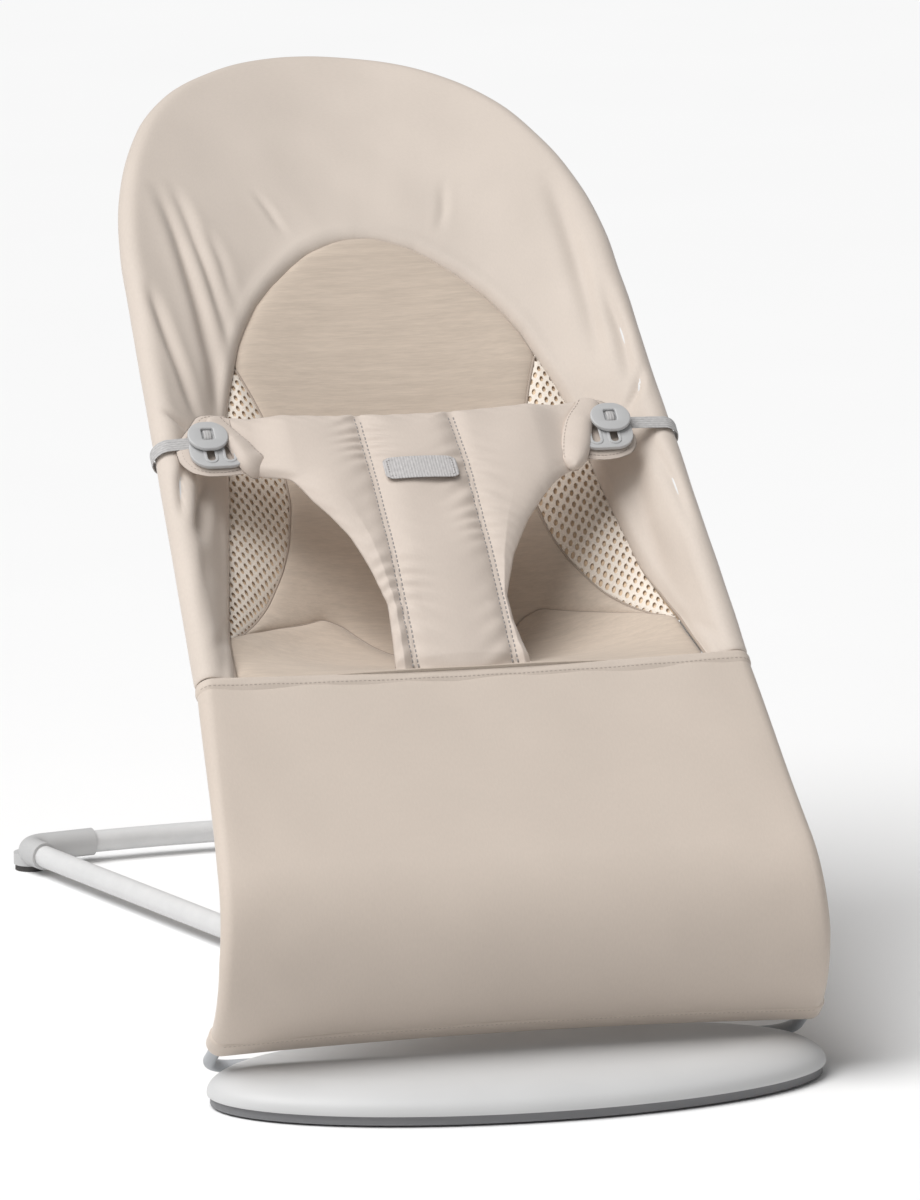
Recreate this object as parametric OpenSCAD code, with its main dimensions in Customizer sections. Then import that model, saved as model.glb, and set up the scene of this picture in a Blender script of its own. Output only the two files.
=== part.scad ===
// Bouncer seat: spring wire seat on a flat front plate with a folding rear support bow.
// Front faces -Y, origin at the centre of the footprint, +Z up, millimetres.

/* [Base] */
// length of the front plate, left to right
plate_length = 390; // [340:1:430]
// depth of the front plate, front to back
plate_depth = 176; // [140:1:200]
// height of the plate's flat top
plate_top = 24.5; // [20:0.5:34]
// outside diameter of the base tubes
base_tube_d = 15; // [12:0.5:20]
// wall of the base tubes
base_tube_wall = 1.2; // [0.8:0.1:2.5]
// half the distance between the two foot corners
foot_half = 182; // [150:1:190]
// how far the rear tube bows out behind the corners
rear_bow = 21.5; // [5:0.5:40]

/* [Seat frame] */
// diameter of the spring wire
wire_d = 8; // [6:0.5:10]
// outside diameter of the upper hoop
hoop_d = 14; // [12:0.5:18]
// wall of the upper hoop
hoop_wall = 1.5; // [1:0.1:2.5]
// half width of the wire frame at the floor end
wire_half = 187; // [170:1:195]
// half width of the hoop at the knee
knee_half = 167; // [150:1:175]
// slope of the backrest from the floor
back_slope = 36.74; // [25:0.01:50]

/* [Folding] */
// recline travel from the highest position to flat
recline_max = 43; // [30:1:44]
// turn of the support bow for each degree of recline
bow_ratio = 1.55; // [1.2:0.01:1.8]
// recline step between two notches
notch_step = 9; // [6:0.5:12]

/* [Fabric] */
// thickness of the outer cover
cover_t = 2.5; // [1.5:0.1:4]
// thickness of the padded insert
pad_t = 8; // [4:0.5:14]
// deepest point of the seat hollow behind the frame
seat_depth = 62; // [30:1:80]

/* [Hidden] */
$fn = 48;

steel = [0.84, 0.84, 0.83];
grey = [0.72, 0.71, 0.69];
dark = [0.42, 0.42, 0.42];
wire_grey = [0.62, 0.64, 0.66];
beige = [0.83, 0.77, 0.71];
cream = [0.93, 0.89, 0.83];
heather = [0.79, 0.73, 0.67];

plate_y = -395 + plate_depth / 2;
pa = plate_length / 2;
pb = plate_depth / 2;
pivot = [0, -261, 14];
bow_pivot = [0, -185, 30];
corner = [foot_half, 366, 13.5];
rear_r = (foot_half * foot_half + rear_bow * rear_bow) / (2 * rear_bow);
tr = base_tube_d / 2;
wr = wire_d / 2;
hr = hoop_d / 2;

// seat plane: s runs up the backrest from the knee, n runs to the back
ub = [0, cos(back_slope), sin(back_slope)];
nb = [0, sin(back_slope), -cos(back_slope)];
knee = [0, -189.5, 242.6];
s_curl = 345;
r_curl = 607;
va = [150, knee[1] + 418.6 * ub[1], knee[2] + 418.6 * ub[2]];
vb = [101, 252, 538];
vc = [33.7, 298, 550];
hoop_dir = unit(va - [knee_half, knee[1], knee[2]]);
kb = [knee_half, knee[1], knee[2]] - 8 * hoop_dir;
v0 = [wire_half, pivot[1], pivot[2]];
v1 = [wire_half - 0.5, -331.5, 57.2];
v2 = [wire_half - 4.5, -331.5, 127.6];
hoop_v = [[0, 0, 0], va, vb, vc];
hoop_r = [0, 328, 168, 95];

function unit(v) = v / norm(v);
function mx(p) = [-p[0], p[1], p[2]];
function clamp01(t) = min(1, max(0, t));
function lerp(a, b, t) = a + (b - a) * t;
function look(t, s, i = 0) =
  i >= len(t) - 2 || s <= t[i + 1][0]
    ? lerp(t[i][1], t[i + 1][1], (s - t[i][0]) / (t[i + 1][0] - t[i][0]))
    : look(t, s, i + 1);

// ---- exact round pipe along a line of corners ----
module frame_at(x, y, z, c) {
  multmatrix([[x[0], y[0], z[0], c[0]], [x[1], y[1], z[1], c[1]],
    [x[2], y[2], z[2], c[2]], [0, 0, 0, 1]]) children();
}
function side_of(d) = unit(abs(d[0]) < 0.9 ? cross([1, 0, 0], d) : cross([0, 1, 0], d));
module rod(a, b, r) {
  d = unit(b - a);
  x = side_of(d);
  frame_at(x, cross(d, x), d, a) cylinder(h = norm(b - a), r = r);
}
function turn(p, i) = acos(unit(p[i] - p[i - 1]) * unit(p[i + 1] - p[i]));
function tlen(p, rb, i) =
  i <= 0 || i >= len(p) - 1 ? 0 : rb[i] * tan(turn(p, i) / 2);
module elbow(p, rb, i, r) {
  d1 = unit(p[i] - p[i - 1]);
  d2 = unit(p[i + 1] - p[i]);
  m = unit(d2 - d1 * (d1 * d2));
  a = p[i] - tlen(p, rb, i) * d1;
  frame_at(-m, d1, cross(d1, m), a + rb[i] * m)
    rotate_extrude(angle = turn(p, i), $fn = 120) translate([rb[i], 0])
      circle(r = r, $fn = 24);
}
// the straights are a hair thinner and run a little way into each bend
module pipe(p, rb, r, ov = 0.25) {
  for (i = [0 : len(p) - 2]) {
    d = unit(p[i + 1] - p[i]);
    a = p[i] + (tlen(p, rb, i) - (i > 0 ? ov : 0)) * d;
    b = p[i + 1] - (tlen(p, rb, i + 1) - (i < len(p) - 2 ? ov : 0)) * d;
    rod(a, b, r - 0.03);
  }
  for (i = [1 : len(p) - 2]) elbow(p, rb, i, r);
}
module tube(p, rb, r, ri) {
  difference() {
    pipe(p, rb, r);
    pipe(p, rb, ri);
  }
}
module both() {
  children();
  mirror([1, 0, 0]) children();
}

// ---- thin closed solid between two grids of points ----
function quads(n, m, o, f) = [for (i = [0 : n - 2], j = [0 : m - 2])
  let (a = o + i * m + j, b = a + 1, c = a + m + 1, d = a + m)
  each f ? [[a, b, c], [a, c, d]] : [[a, c, b], [a, d, c]]];
function rim_faces(e, k, f) = [for (i = [0 : len(e) - 2])
  let (a = e[i], b = e[i + 1], c = b + k, d = a + k)
  each f ? [[a, d, b], [b, d, c]] : [[a, b, d], [b, c, d]]];
module skin(top, bot) {
  n = len(top);
  m = len(top[0]);
  k = n * m;
  pts = concat([for (r = top) each r], [for (r = bot) each r]);
  e1 = [for (j = [0 : m - 1]) j];
  e2 = [for (j = [0 : m - 1]) (n - 1) * m + j];
  e3 = [for (i = [0 : n - 1]) i * m];
  e4 = [for (i = [0 : n - 1]) i * m + m - 1];
  polyhedron(points = pts, convexity = 6, faces = concat(quads(n, m, 0, false),
    quads(n, m, k, true), rim_faces(e1, k, false), rim_faces(e2, k, true),
    rim_faces(e3, k, true), rim_faces(e4, k, false)));
}

// ---- seat surface ----
function beta(s) = s <= s_curl ? back_slope : back_slope - (s - s_curl) / r_curl * 180 / PI;
function prof(s) = s <= s_curl ? knee + s * ub
  : knee + s_curl * ub + r_curl * [0, sin(back_slope) - sin(beta(s)),
      cos(beta(s)) - cos(back_slope)];
function nrm(s) = [0, sin(beta(s)), -cos(beta(s))];
function half_w(s) = s <= 343 ? knee_half - 17 * s / 418.6
  : 153 * sqrt(max(0, 1 - pow((s - 343) / 238, 2)));
DEPTH = [[0, 3], [12, 16], [30, 36], [60, 56], [90, seat_depth], [140, seat_depth - 10],
  [200, 38], [260, 28], [320, 20], [388, 11], [600, 6]];
function dip(x, s) = look(DEPTH, s)
  * pow(max(0, 1 - pow(min(1, abs(x) / half_w(s)), 2.2)), 0.8);
function sp(x, s, n) = [x, 0, 0] + prof(s) + n * nrm(s);
OUT = [[3, 150], [22, 148], [43, 145.5], [72, 140], [100, 134], [140, 127], [177, 120.5],
  [207, 117], [234, 113], [258, 107], [280, 100], [299, 94], [313, 87.5], [332, 77],
  [350, 63], [365, 48.5], [376, 36], [384, 20]];
INN = [[43, 144.5], [60, 131], [72, 122], [91, 110], [100, 105], [122, 94], [140, 87],
  [150, 84], [177, 79], [200, 79.5], [207, 80], [234, 84.5], [258, 91.5], [280, 99]];

// hoop centre line and its direction, t from 0 (knee) to 1 (middle of the top)
function hoop_bend(i) = [for (dummy = [0]) let (p = [[knee_half, knee[1], knee[2]], va, vb,
    vc, mx(vc)], d1 = unit(p[i] - p[i - 1]), d2 = unit(p[i + 1] - p[i]),
    m = unit(d2 - d1 * (d1 * d2)), an = acos(d1 * d2), r = hoop_r[i],
    a = p[i] - r * tan(an / 2) * d1) [a + r * m, m, d1, an, r]][0];
function on_bend(i, f) = let (b = hoop_bend(i), q = b[3] * f)
  [b[0] + b[4] * (sin(q) * b[2] - cos(q) * b[1]), cos(q) * b[2] + sin(q) * b[1]];
function hoop_at(t) = t <= 0 ? [[knee_half, knee[1], knee[2]] + t * hoop_dir, hoop_dir]
  : t < 346.8 ? [[knee_half, knee[1], knee[2]] + t * hoop_dir, hoop_dir]
  : t < 490 ? on_bend(1, (t - 346.8) / 143.2)
  : t < 588 ? on_bend(2, (t - 490) / 98)
  : on_bend(3, min(1, (t - 588) / 61));

// ---- base ----
module oval2d(inset) {
  polygon([for (k = [0 : 71]) [(pa - inset) * cos(5 * k), (pb - inset) * sin(5 * k)]]);
}
EDGE = [[0, 7], [0, 9.5], [1.2, 12.6], [4, 15.8], [8.5, 18.8], [14, 21.2], [21, 23],
  [29, plate_top]];
// rounded plate: rings of an oval, each a little higher and further in
module plate_body(drop) {
  n = 72;
  e = concat([[drop, 7 - (drop > 0 ? 1 : 0)]],
    [for (i = [1 : len(EDGE) - 1]) EDGE[i] + [drop, -drop]]);
  m = len(e);
  pts = [for (q = e) each [for (k = [0 : n - 1])
    [(pa - q[0]) * cos(360 * k / n), (pb - q[0]) * sin(360 * k / n), q[1]]]];
  polyhedron(points = pts, convexity = 4, faces = concat([[for (k = [0 : n - 1]) k]],
    [[for (k = [n - 1 : -1 : 0]) (m - 1) * n + k]],
    [for (i = [0 : m - 2], k = [0 : n - 1]) let (a = i * n + k, b = i * n + (k + 1) % n)
      each [[a, a + n, b], [b, a + n, b + n]]]));
}
module socket_at(m) {
  // groove for a base tube where it enters the plate
  rod([m * 72, -246, 14], [m * 72, -205, 14], tr + 0.35);
}
module base_plate_cover() {
  color(grey) difference() {
    translate([0, plate_y, 0]) plate_body(0);
    translate([0, plate_y, 0]) plate_body(3);
    for (m = [-1, 1]) {
      socket_at(m, $fn = 12);
      rod([m * 120, pivot[1], pivot[2]], [m * 200, pivot[1], pivot[2]], 8, $fn = 12);
    }
  }
  color(grey) both() for (q = [[60, -365], [130, -345]])
    translate([q[0], q[1], 9]) difference() {
      cylinder(h = 12.4, d = 8, $fn = 12);
      translate([0, 0, -1]) cylinder(h = 9, d = 3.4);
    }
}
module base_plate_tray() {
  color(dark) difference() {
    union() {
      translate([0, plate_y, 1.5]) linear_extrude(5.2) oval2d(2);
      for (q = [[60, -365], [130, -345]]) for (m = [-1, 1])
        translate([m * q[0], q[1], 6]) cylinder(h = 2.7, d = 12);
    }
    translate([0, plate_y, 3.5]) linear_extrude(6) difference() {
      oval2d(5);
      for (x = [-3 : 3]) translate([x * 40, 0]) square([2.4, 400], center = true);
      translate([0, -14]) square([400, 2.4], center = true);
      for (q = [[60, -365], [130, -345]]) for (m = [-1, 1])
        translate([m * q[0], q[1] - plate_y]) circle(d = 12);
      for (m = [-1, 1]) translate([m * 72, 55]) square([24, 34], center = true);
      for (m = [-1, 1]) translate([m * 95, 45.5]) square([20, 16], center = true);
    }
    for (m = [-1, 1]) socket_at(m);
    for (q = [[60, -365], [130, -345]]) for (m = [-1, 1]) translate([m * q[0], q[1], 0]) {
      cylinder(h = 20, d = 3.4);
      cylinder(h = 4.2, d = 7);
    }
    for (m = [-1, 1]) for (f = [-1, 1])
      translate([m * 112, plate_y + f * 52, 0]) cylinder(h = 2.7, d = 18);
  }
}
module plate_antislip_pads() {
  color(dark) for (m = [-1, 1]) for (f = [-1, 1])
    translate([m * 112, plate_y + f * 52, 0]) cylinder(h = 2.6, d = 17.6);
}
module plate_screws() {
  color(steel) for (q = [[60, -365], [130, -345]]) for (m = [-1, 1])
    translate([m * q[0], q[1], 2]) difference() {
      union() {
        cylinder(h = 2.1, d = 6.4);
        cylinder(h = 14, d = 3.2);
      }
      translate([0, 0, -0.1]) cylinder(h = 1.2, d = 2.6, $fn = 6);
    }
}
module pivot_clamp_right() {
  color(grey) difference() {
    translate([86, -268, 6.9]) cube([18, 13, 12.5]);
    rod([80, pivot[1], pivot[2]], [110, pivot[1], pivot[2]], wr + 0.06);
  }
}
module pivot_clamp_left() {
  mirror([1, 0, 0]) pivot_clamp_right();
}
side_d = unit([-72, 20, 14] - [-foot_half, 366, 13.5]);
module base_tube_right() {
  p = [[72, -246, 14], [72, 20, 14], mx([-foot_half, 366, 13.5] + 12 * side_d)];
  color(steel) tube(p, [0, 300, 0], tr, tr - base_tube_wall);
}
module base_tube_left() {
  mirror([1, 0, 0]) base_tube_right();
}
function rear_pt(a) = [rear_r * sin(a), 366 + rear_bow - rear_r * (1 - cos(a)), 13.5];
rear_half = asin(foot_half / rear_r);
rear_gap = 12 / rear_r * 180 / PI;
module base_rear_tube() {
  a = rear_half - rear_gap;
  color(steel) translate([0, 366 + rear_bow - rear_r, 13.5]) rotate([0, 0, 90 - a])
    rotate_extrude(angle = 2 * a) translate([rear_r, 0]) difference() {
      circle(r = tr);
      circle(r = tr - base_tube_wall);
    }
}
module foot_elbow_right() {
  ds = [-side_d[0], side_d[1], side_d[2]];
  c = corner;
  t2 = unit(rear_pt(rear_half - rear_gap * 3) - c);
  p = [c + 29 * ds, c, c + 50 * t2];
  color(grey) difference() {
    union() {
      pipe(p, [0, 13, 0], tr + 1.9);
      translate([c[0] - 3.5, c[1] - 3, 4]) cylinder(h = 8, r = 11.5);
    }
    rod(c + 12 * ds, c + 40 * ds, tr + 0.05);
    translate([0, 366 + rear_bow - rear_r, 13.5]) rotate([0, 0, 90 - rear_half + rear_gap])
      rotate_extrude(angle = 12) translate([rear_r, 0]) circle(r = tr + 0.05);
  }
}
module foot_elbow_left() {
  mirror([1, 0, 0]) foot_elbow_right();
}
module foot_sole_right() {
  color(dark) translate([corner[0] - 3.5, corner[1] - 3, 0]) cylinder(h = 3.9, r = 10.5);
}
module foot_sole_left() {
  mirror([1, 0, 0]) foot_sole_right();
}

// ---- support bow ----
bow_foot = 96;
bow_tip = knee - 20 * ub + 26 * nb;
arm_x = 161.5;
rack_x = 147.5;
module bow_bracket_right() {
  y = bow_pivot[1];
  color(grey) difference() {
    union() {
      translate([61, y - 10, 4.5]) cube([25, 20, 32]);
      translate([61, y, 0]) rotate([0, 90, 0]) translate([-30, 0, 0]) cylinder(h = 25, r = 9);
    }
    rod([72, y - 20, 14], [72, y + 20, 14], tr + 0.05);
    rod([50, y, bow_pivot[2]], [90, y, bow_pivot[2]], wr + 0.06);
    for (f = [-1, 1]) translate([82.7, y + f * 6, 0]) cylinder(h = 12, d = 3.1);
  }
}
module bow_bracket_left() {
  mirror([1, 0, 0]) bow_bracket_right();
}
module bracket_screws() {
  color(steel) for (m = [-1, 1]) for (f = [-1, 1])
    translate([m * 82.7, bow_pivot[1] + f * 6, 3]) union() {
      cylinder(h = 1.4, d = 5);
      cylinder(h = 8.6, d = 3);
    }
}
bow_v = [[0, bow_pivot[1], bow_pivot[2]], [bow_foot, bow_pivot[1], bow_pivot[2]],
  [arm_x, bow_tip[1], bow_tip[2]] + 46 * unit([0, bow_pivot[1] - bow_tip[1],
    bow_pivot[2] - bow_tip[2]]), [arm_x, bow_tip[1], bow_tip[2]],
  [rack_x - 3, bow_tip[1], bow_tip[2]]];
module support_bow() {
  color(wire_grey) union() {
    pipe(concat([for (i = [4 : -1 : 1]) mx(bow_v[i])], [for (i = [1 : 4]) bow_v[i]]),
      [0, 8, 30, 14, 14, 30, 8, 0], wr - 0.25);
  }
}

// ---- lower spring frame and its racks ----
wire_v = [v0, v1, v2, kb];
module lower_spring_frame() {
  e = [knee_half, knee[1], knee[2]] + 26 * hoop_dir;
  p = concat([mx(e)], [for (i = [3 : -1 : 0]) mx(wire_v[i])], [for (q = wire_v) q], [e]);
  color(wire_grey) pipe(p, [0, 150, 65, 70, 16, 16, 70, 65, 150, 0], wr);
}
function spin(v, d) = [0, cos(d) * v[1] - sin(d) * v[2], sin(d) * v[1] + cos(d) * v[2]];
// centre of the bow tip seen from the seat frame at recline q
function tip_path(q) = let (t = bow_pivot + spin(bow_tip - bow_pivot, -bow_ratio * q),
  w = pivot + spin(t - pivot, q) - knee) [w * ub, w * nb];
function path_dir(q) = unit(tip_path(q + 0.5) - tip_path(q - 0.5));
SLOT = [for (i = [0 : 10]) i * recline_max / 10];
module slot2d(g) {
  n = len(SLOT) - 1;
  d0 = path_dir(0);
  d1 = path_dir(recline_max);
  polygon(concat([for (q = SLOT) let (d = path_dir(q)) tip_path(q) + g * [-d[1], d[0]]],
    [for (a = [30 : 30 : 150]) tip_path(recline_max)
      + g * (sin(a) * d1 + cos(a) * [-d1[1], d1[0]])],
    [for (i = [n : -1 : 0]) let (d = path_dir(SLOT[i])) tip_path(SLOT[i]) - g * [-d[1], d[0]]],
    [for (a = [30 : 30 : 150]) tip_path(0) - g * (sin(a) * d0 + cos(a) * [-d0[1], d0[0]])]));
}
module in_seat(x) {
  frame_at(ub, nb, [-1, 0, 0], knee + [x, 0, 0]) children();
}
module notch_rack_right() {
  color(grey) difference() {
    union() {
      in_seat(rack_x + 6) linear_extrude(6) difference() {
        union() {
          translate([-62, 15.4]) square([100, 19]);
          translate([38, 24.9]) circle(r = 9.5);
          translate([-64, 8]) square([30, 26.4]);
        }
        slot2d(wr + 0.15);
        for (i = [0 : 2]) translate(tip_path(i * notch_step) + [0, -1.1])
          rotate(7) circle(r = wr + 0.3, $fn = 12);
      }
      in_seat(172.5) translate([-62, 2.5, 0]) cube([26, 15, 22]);
    }
    rod(v2, kb, wr + 0.05);
    for (f = [-56, -42]) in_seat(163) translate([f, -5, 3]) rotate([-90, 0, 0])
      cylinder(h = 40, d = 3.1);
  }
}
module notch_rack_left() {
  mirror([1, 0, 0]) notch_rack_right();
}
module rack_screws() {
  color(steel) both() for (f = [-56, -42]) in_seat(163) translate([f, 7.5, 3])
    rotate([-90, 0, 0]) union() {
      cylinder(h = 10.2, d = 3);
      translate([0, 0, 10.15]) cylinder(h = 1.8, d = 5.4);
    }
}

// ---- leg panel: front sheet with a sleeve round each wire ----
function leg_c(k) = k < 0 ? [-261.5 - 70 * cos(-k), 96.5 - 70 * sin(-k)]
  : k <= 51 ? [-266.5 - 65 * cos(k), 96.5 + 65 * sin(k)]
  : lerp([-307.4, 147], [kb[1], kb[2]], (k - 51) / 49);
function leg_n(k) = k < 0 ? [0, -cos(-k), -sin(-k)] : k <= 51 ? [0, -cos(k), sin(k)]
  : [0, -cos(51), sin(51)];
function leg_w(k) = k < 0 ? wire_half - 2.4 + 1.6 * clamp01(-k / 54)
  : k <= 51 ? lerp(wire_half - 2.4, wire_half - 7, k / 51)
  : lerp(wire_half - 7, kb[0], (k - 51) / 49);
function leg_row(k, off, wrap, g) = let (c = leg_c(k), nf = leg_n(k), w = leg_w(k),
    r = wr + 2.3 + off, cy = [0, c[0], c[1]],
    half = concat([for (f = [0, 0.3, 0.6, 0.85])
      [w * f, 0, 0] + cy + (r - g * (1 - f * f)) * nf],
      [for (q = wrap) [w + r * sin(q), 0, 0] + cy + r * cos(q) * nf]))
  concat([for (i = [len(half) - 1 : -1 : 1]) mx(half[i])], half);
WRAP = [0, 40, 80, 120, 160, 205];
SHORT = [0, 25, 45, 65, 80, 95];
module leg_sheet(rows, t) {
  skin([for (k = rows) leg_row(k, t / 2, k > 72 ? SHORT : WRAP, 4)],
    [for (k = rows) leg_row(k, -t / 2, k > 72 ? SHORT : WRAP, 4)]);
}
module leg_panel() {
  color(beige) leg_sheet([-45, -33, -22, -11, 0, 10, 20, 30, 40, 51, 60, 69, 74, 86, 96.5], cover_t);
}
module leg_hem() {
  color(beige) leg_sheet([-55.5, -50, -45.6], 3.1);
}
module seam_band() {
  color(beige) leg_sheet([97, 99, 101.8], 3);
}

// ---- upper hoop ----
module upper_frame_hoop() {
  a = [knee_half, knee[1], knee[2]] + 4 * hoop_dir;
  mid = [8, vc[1], vc[2]];
  // the bore is cut in the straight sides only
  color(steel) difference() {
    union() {
      both() pipe([mid, vc, vb, va, a], [0, 95, 168, 328, 0], hr, 1);
      rod(mx(mid) - [6, 0, 0], mid + [6, 0, 0], hr);
    }
    for (m = [0, 1]) {
      k0 = [knee_half, knee[1], knee[2]];
      c = k0 + 1 * hoop_dir;
      d = k0 + 335 * hoop_dir;
      rod(m == 0 ? c : mx(c), m == 0 ? d : mx(d), hr - hoop_wall);
    }
  }
}
module hoop_collars() {
  k0 = [knee_half, knee[1], knee[2]];
  color(grey) both() difference() {
    rod(k0 + 2.6 * hoop_dir, k0 + 16 * hoop_dir, hr + 1);
    rod(k0 + 3.95 * hoop_dir, k0 + 20 * hoop_dir, hr + 0.05);
    rod(k0, k0 + 10 * hoop_dir, hr - hoop_wall + 0.1);
  }
}

// ---- backrest cover: ring of cloth from the pad outline round the hoop ----
RING = [6, 26, 47, 76, 104, 144, 181, 212, 240, 265, 290, 320, 352, 395, 440, 485, 530, 572,
  592, 612, 634, 655];
INNER = concat(OUT, [[386, 14], [387.2, 9], [387.8, 4.5], [388, 0]]);
function cover_row(i, sd, off) = let (h = hoop_at(RING[i]), c = h[0], s = INNER[i][0],
    x = INNER[i][1], b = beta(s_curl + (580 - s_curl) * clamp01((c[1] - 87) / 211)),
    n = c[1] > 87 ? [0, sin(b), -cos(b)] : nb, o = unit(cross(n, h[1])),
    r = hr + 2.9 + 0.5 * clamp01((RING[i] - 395) / 45), inn = sp(x, s, dip(x, s) + cover_t / 2), a = (inn - c) * o,
    f = -(inn - c) * n, q0 = atan2(a, f) + acos(min(1, r / norm([a, f]))),
    p0 = c + r * (sin(q0) * o - cos(q0) * n),
    half = concat([inn + off * nrm(s), lerp(inn, p0, 0.5) + off * (sin(-q0) * o + cos(q0) * n)],
      [for (j = [0 : 7]) let (q = lerp(q0, 212, j / 7))
        c + (r - off) * (sin(q) * o - cos(q) * n)]))
  [for (p = half) [sd * p[0], p[1], p[2]]];
function cover_grid(off) = concat([for (i = [0 : 20]) cover_row(i, -1, off)],
  [cover_row(21, 0, off)], [for (i = [20 : -1 : 0]) cover_row(i, 1, off)]);
module backrest_cover() {
  color(beige) skin(cover_grid(cover_t / 2), cover_grid(-cover_t / 2));
}
REAR = [4, 22, 43, 60, 74, 100, 140, 177, 207, 234, 258, 280, 313, 350, 384, 430, 480, 520,
  550];
REAR_X = [0, 0.15, 0.3, 0.45, 0.6, 0.72, 0.83, 0.92, 1];
function rear_row(s, e) = let (w = s < 66 ? 136 : s < 350 ? half_w(s) - 12
      : min(half_w(s) - 12, sqrt(max(1, 1 - pow((s - 343) / 215, 2)) ) * 140
        * sqrt(max(0.02, 1 - pow((s - 343) / 214, 2)))),
    xo = s < 384 ? min(look(OUT, s), w - 6) : w * 0.8, d = pad_t + 3 + e,
    ne = s < 66 ? dip(w, s) + d : 9.5 + e,
    half = [for (f = REAR_X) sp(xo * f, s, dip(xo * f, s) + d)])
  concat([sp(-w, s, ne)], [for (i = [len(half) - 1 : -1 : 1]) mx(half[i])], half,
    [sp(w, s, ne)]);
module backrest_rear_panel() {
  color(beige) skin([for (s = REAR) rear_row(s, 2)], [for (s = REAR) rear_row(s, 0)]);
}
function patch_row(s, x1, x2, e, m) = [for (j = [0 : m]) let (x = lerp(x1, x2, j / m))
  sp(x, s, dip(x, s) + e)];
module seat_pad() {
  ss = [for (q = OUT) if (q[0] > 40) q[0]];
  xx = [for (s = ss) s <= 280 ? look(INN, s) - 2.6 : look(OUT, s) - 3.4];
  rows = [for (i = [0 : len(ss) - 1]) i];
  color(heather) skin(
    [for (i = rows) patch_row(ss[i] + 1, -xx[i], xx[i], pad_t, 10)],
    [for (i = rows) patch_row(ss[i] + 1, -xx[i], xx[i], 0, 10)]);
}
module seat_pad_lower() {
  ss = [3, 12, 22, 32, 42];
  color(heather) skin(
    [for (s = ss) let (w = look(OUT, s) - 1.6) [for (j = [-7 : 7]) let (x = w * j / 7)
      sp(x, s, dip(x, s) + pad_t - 6 * pow(j / 7, 8))]],
    [for (s = ss) patch_row(s, -look(OUT, s) + 1.6, look(OUT, s) - 1.6, 0, 14)]);
}
module mesh_gusset_right() {
  ss = [50, 60, 72, 91, 100, 122, 140, 150, 177, 207, 234, 258, 274];
  color(cream) skin(
    [for (s = ss) patch_row(s, look(INN, s) + 0.6, look(OUT, s) - 1.2, 3.5, 3)],
    [for (s = ss) patch_row(s, look(INN, s) + 0.6, look(OUT, s) - 1.2, 0.5, 3)]);
}
module mesh_gusset_left() {
  mirror([1, 0, 0]) mesh_gusset_right();
}

// ---- harness ----
// the harness hangs a little off centre; rows of height, middle and half width
harness_x = -6.2;
HARN = [[2, -5, 42.8], [17, -6.6, 40], [28, -7.6, 38.6], [46, -7.9, 37.9], [72, -7.3, 44.7],
  [100, -5, 56.8], [115, -4.4, 65], [127, -3.9, 74.1], [140, -2, 84], [150, -1, 92],
  [156, -5, 108], [163, -6.2, 117], [180, -6.2, 118], [196, -6.2, 118], [212, -6.2, 116]];
HOUT = [[0, -1], [30, -6], [80, -13], [140, -15], [190, -13], [220, -12]];
function harn_side(x) = min(1, abs(x - harness_x) / 118);
function harn_n(x, s) = look(HOUT, s) - 4 * (1 - pow(harn_side(x), 2)) * clamp01(s / 90)
  + 5 * clamp01((abs(x - harness_x) - 78) / 24);
function harn_pt(q, j, e) = let (x = q[1] + q[2] * j / 6,
    s = q[0] - 12.5 * clamp01((q[0] - 150) / 62) * (1 - pow(harn_side(x), 2)))
  sp(x, s, harn_n(x, s) + e);
module harness_front() {
  color(beige) skin([for (q = HARN) [for (j = [-6 : 6]) harn_pt(q, j, 3)]],
    [for (q = HARN) [for (j = [-6 : 6]) harn_pt(q, j, -3)]]);
}
module harness_label() {
  color(grey) frame_at([-1, 0, 0], ub, -nb, sp(-8, 145.5, harn_n(-8, 145.5) - 3.9))
    translate([-23.3, -9, 0]) cube([46.6, 18, 0.8]);
}
tog_x = 137.3;
tog_s = 187.5;
module other_side() {
  translate([2 * harness_x, 0, 0]) mirror([1, 0, 0]) children();
}
module on_wing() {
  // local x outward, y up the backrest, z to the front
  frame_at([-1, 0, 0], ub, -nb, sp(-tog_x, tog_s, 0)) children();
}
module rounded(l, w, r) {
  square([l - 2 * r, w], center = true);
  square([l, w - 2 * r], center = true);
  for (i = [-1, 1]) for (j = [-1, 1]) translate([i * (l / 2 - r), j * (w / 2 - r)]) circle(r = r);
}
module slotted_plate_left() {
  color(grey) on_wing() translate([0, 0, 13.8]) difference() {
    union() {
      translate([-8, -9.5, 0]) linear_extrude(2.2) rounded(42, 29, 11);
      for (x = [0, -12]) translate([x, -8.5, 0]) linear_extrude(2.7) rounded(9.6, 26.8, 4.6);
    }
    for (x = [0, -12]) translate([x, -8.5, -1]) linear_extrude(5) rounded(7, 24.6, 3.4);
  }
}
module slotted_plate_right() {
  other_side() slotted_plate_left();
}
module toggle_left() {
  color(grey) on_wing() difference() {
    union() {
      translate([0, 0, 16.9]) linear_extrude(3) rounded(26, 23.4, 11.4);
      translate([0, 0, 10.6]) cylinder(h = 6.4, r = 3);
      translate([0, 0, 9.4]) cylinder(h = 1.3, r = 4.4);
    }
    translate([0, 0, 18.6]) linear_extrude(3) square([8.6, 9], center = true);
  }
}
module toggle_right() {
  other_side() toggle_left();
}
module strap(w) {
  r = hr + 5.2;
  inner = [for (q = [0 : 25 : 200]) [w + (r - 0.55) * sin(q), (r - 0.55) * cos(q)]];
  outer = [for (q = [200 : -25 : 0]) [w + (r + 0.55) * sin(q), (r + 0.55) * cos(q)]];
  color(grey) on_wing() difference() {
    union() {
      translate([0, 4.5, 0]) rotate([90, 0, 0]) linear_extrude(9)
        polygon(concat([[0, 11.6]], inner, outer, [[0, 12.9]]));
      translate([0, 0, 11.6]) cylinder(h = 1.3, r = 7);
    }
    translate([0, 0, 5]) cylinder(h = 10, r = 3.06);
  }
}
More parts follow.
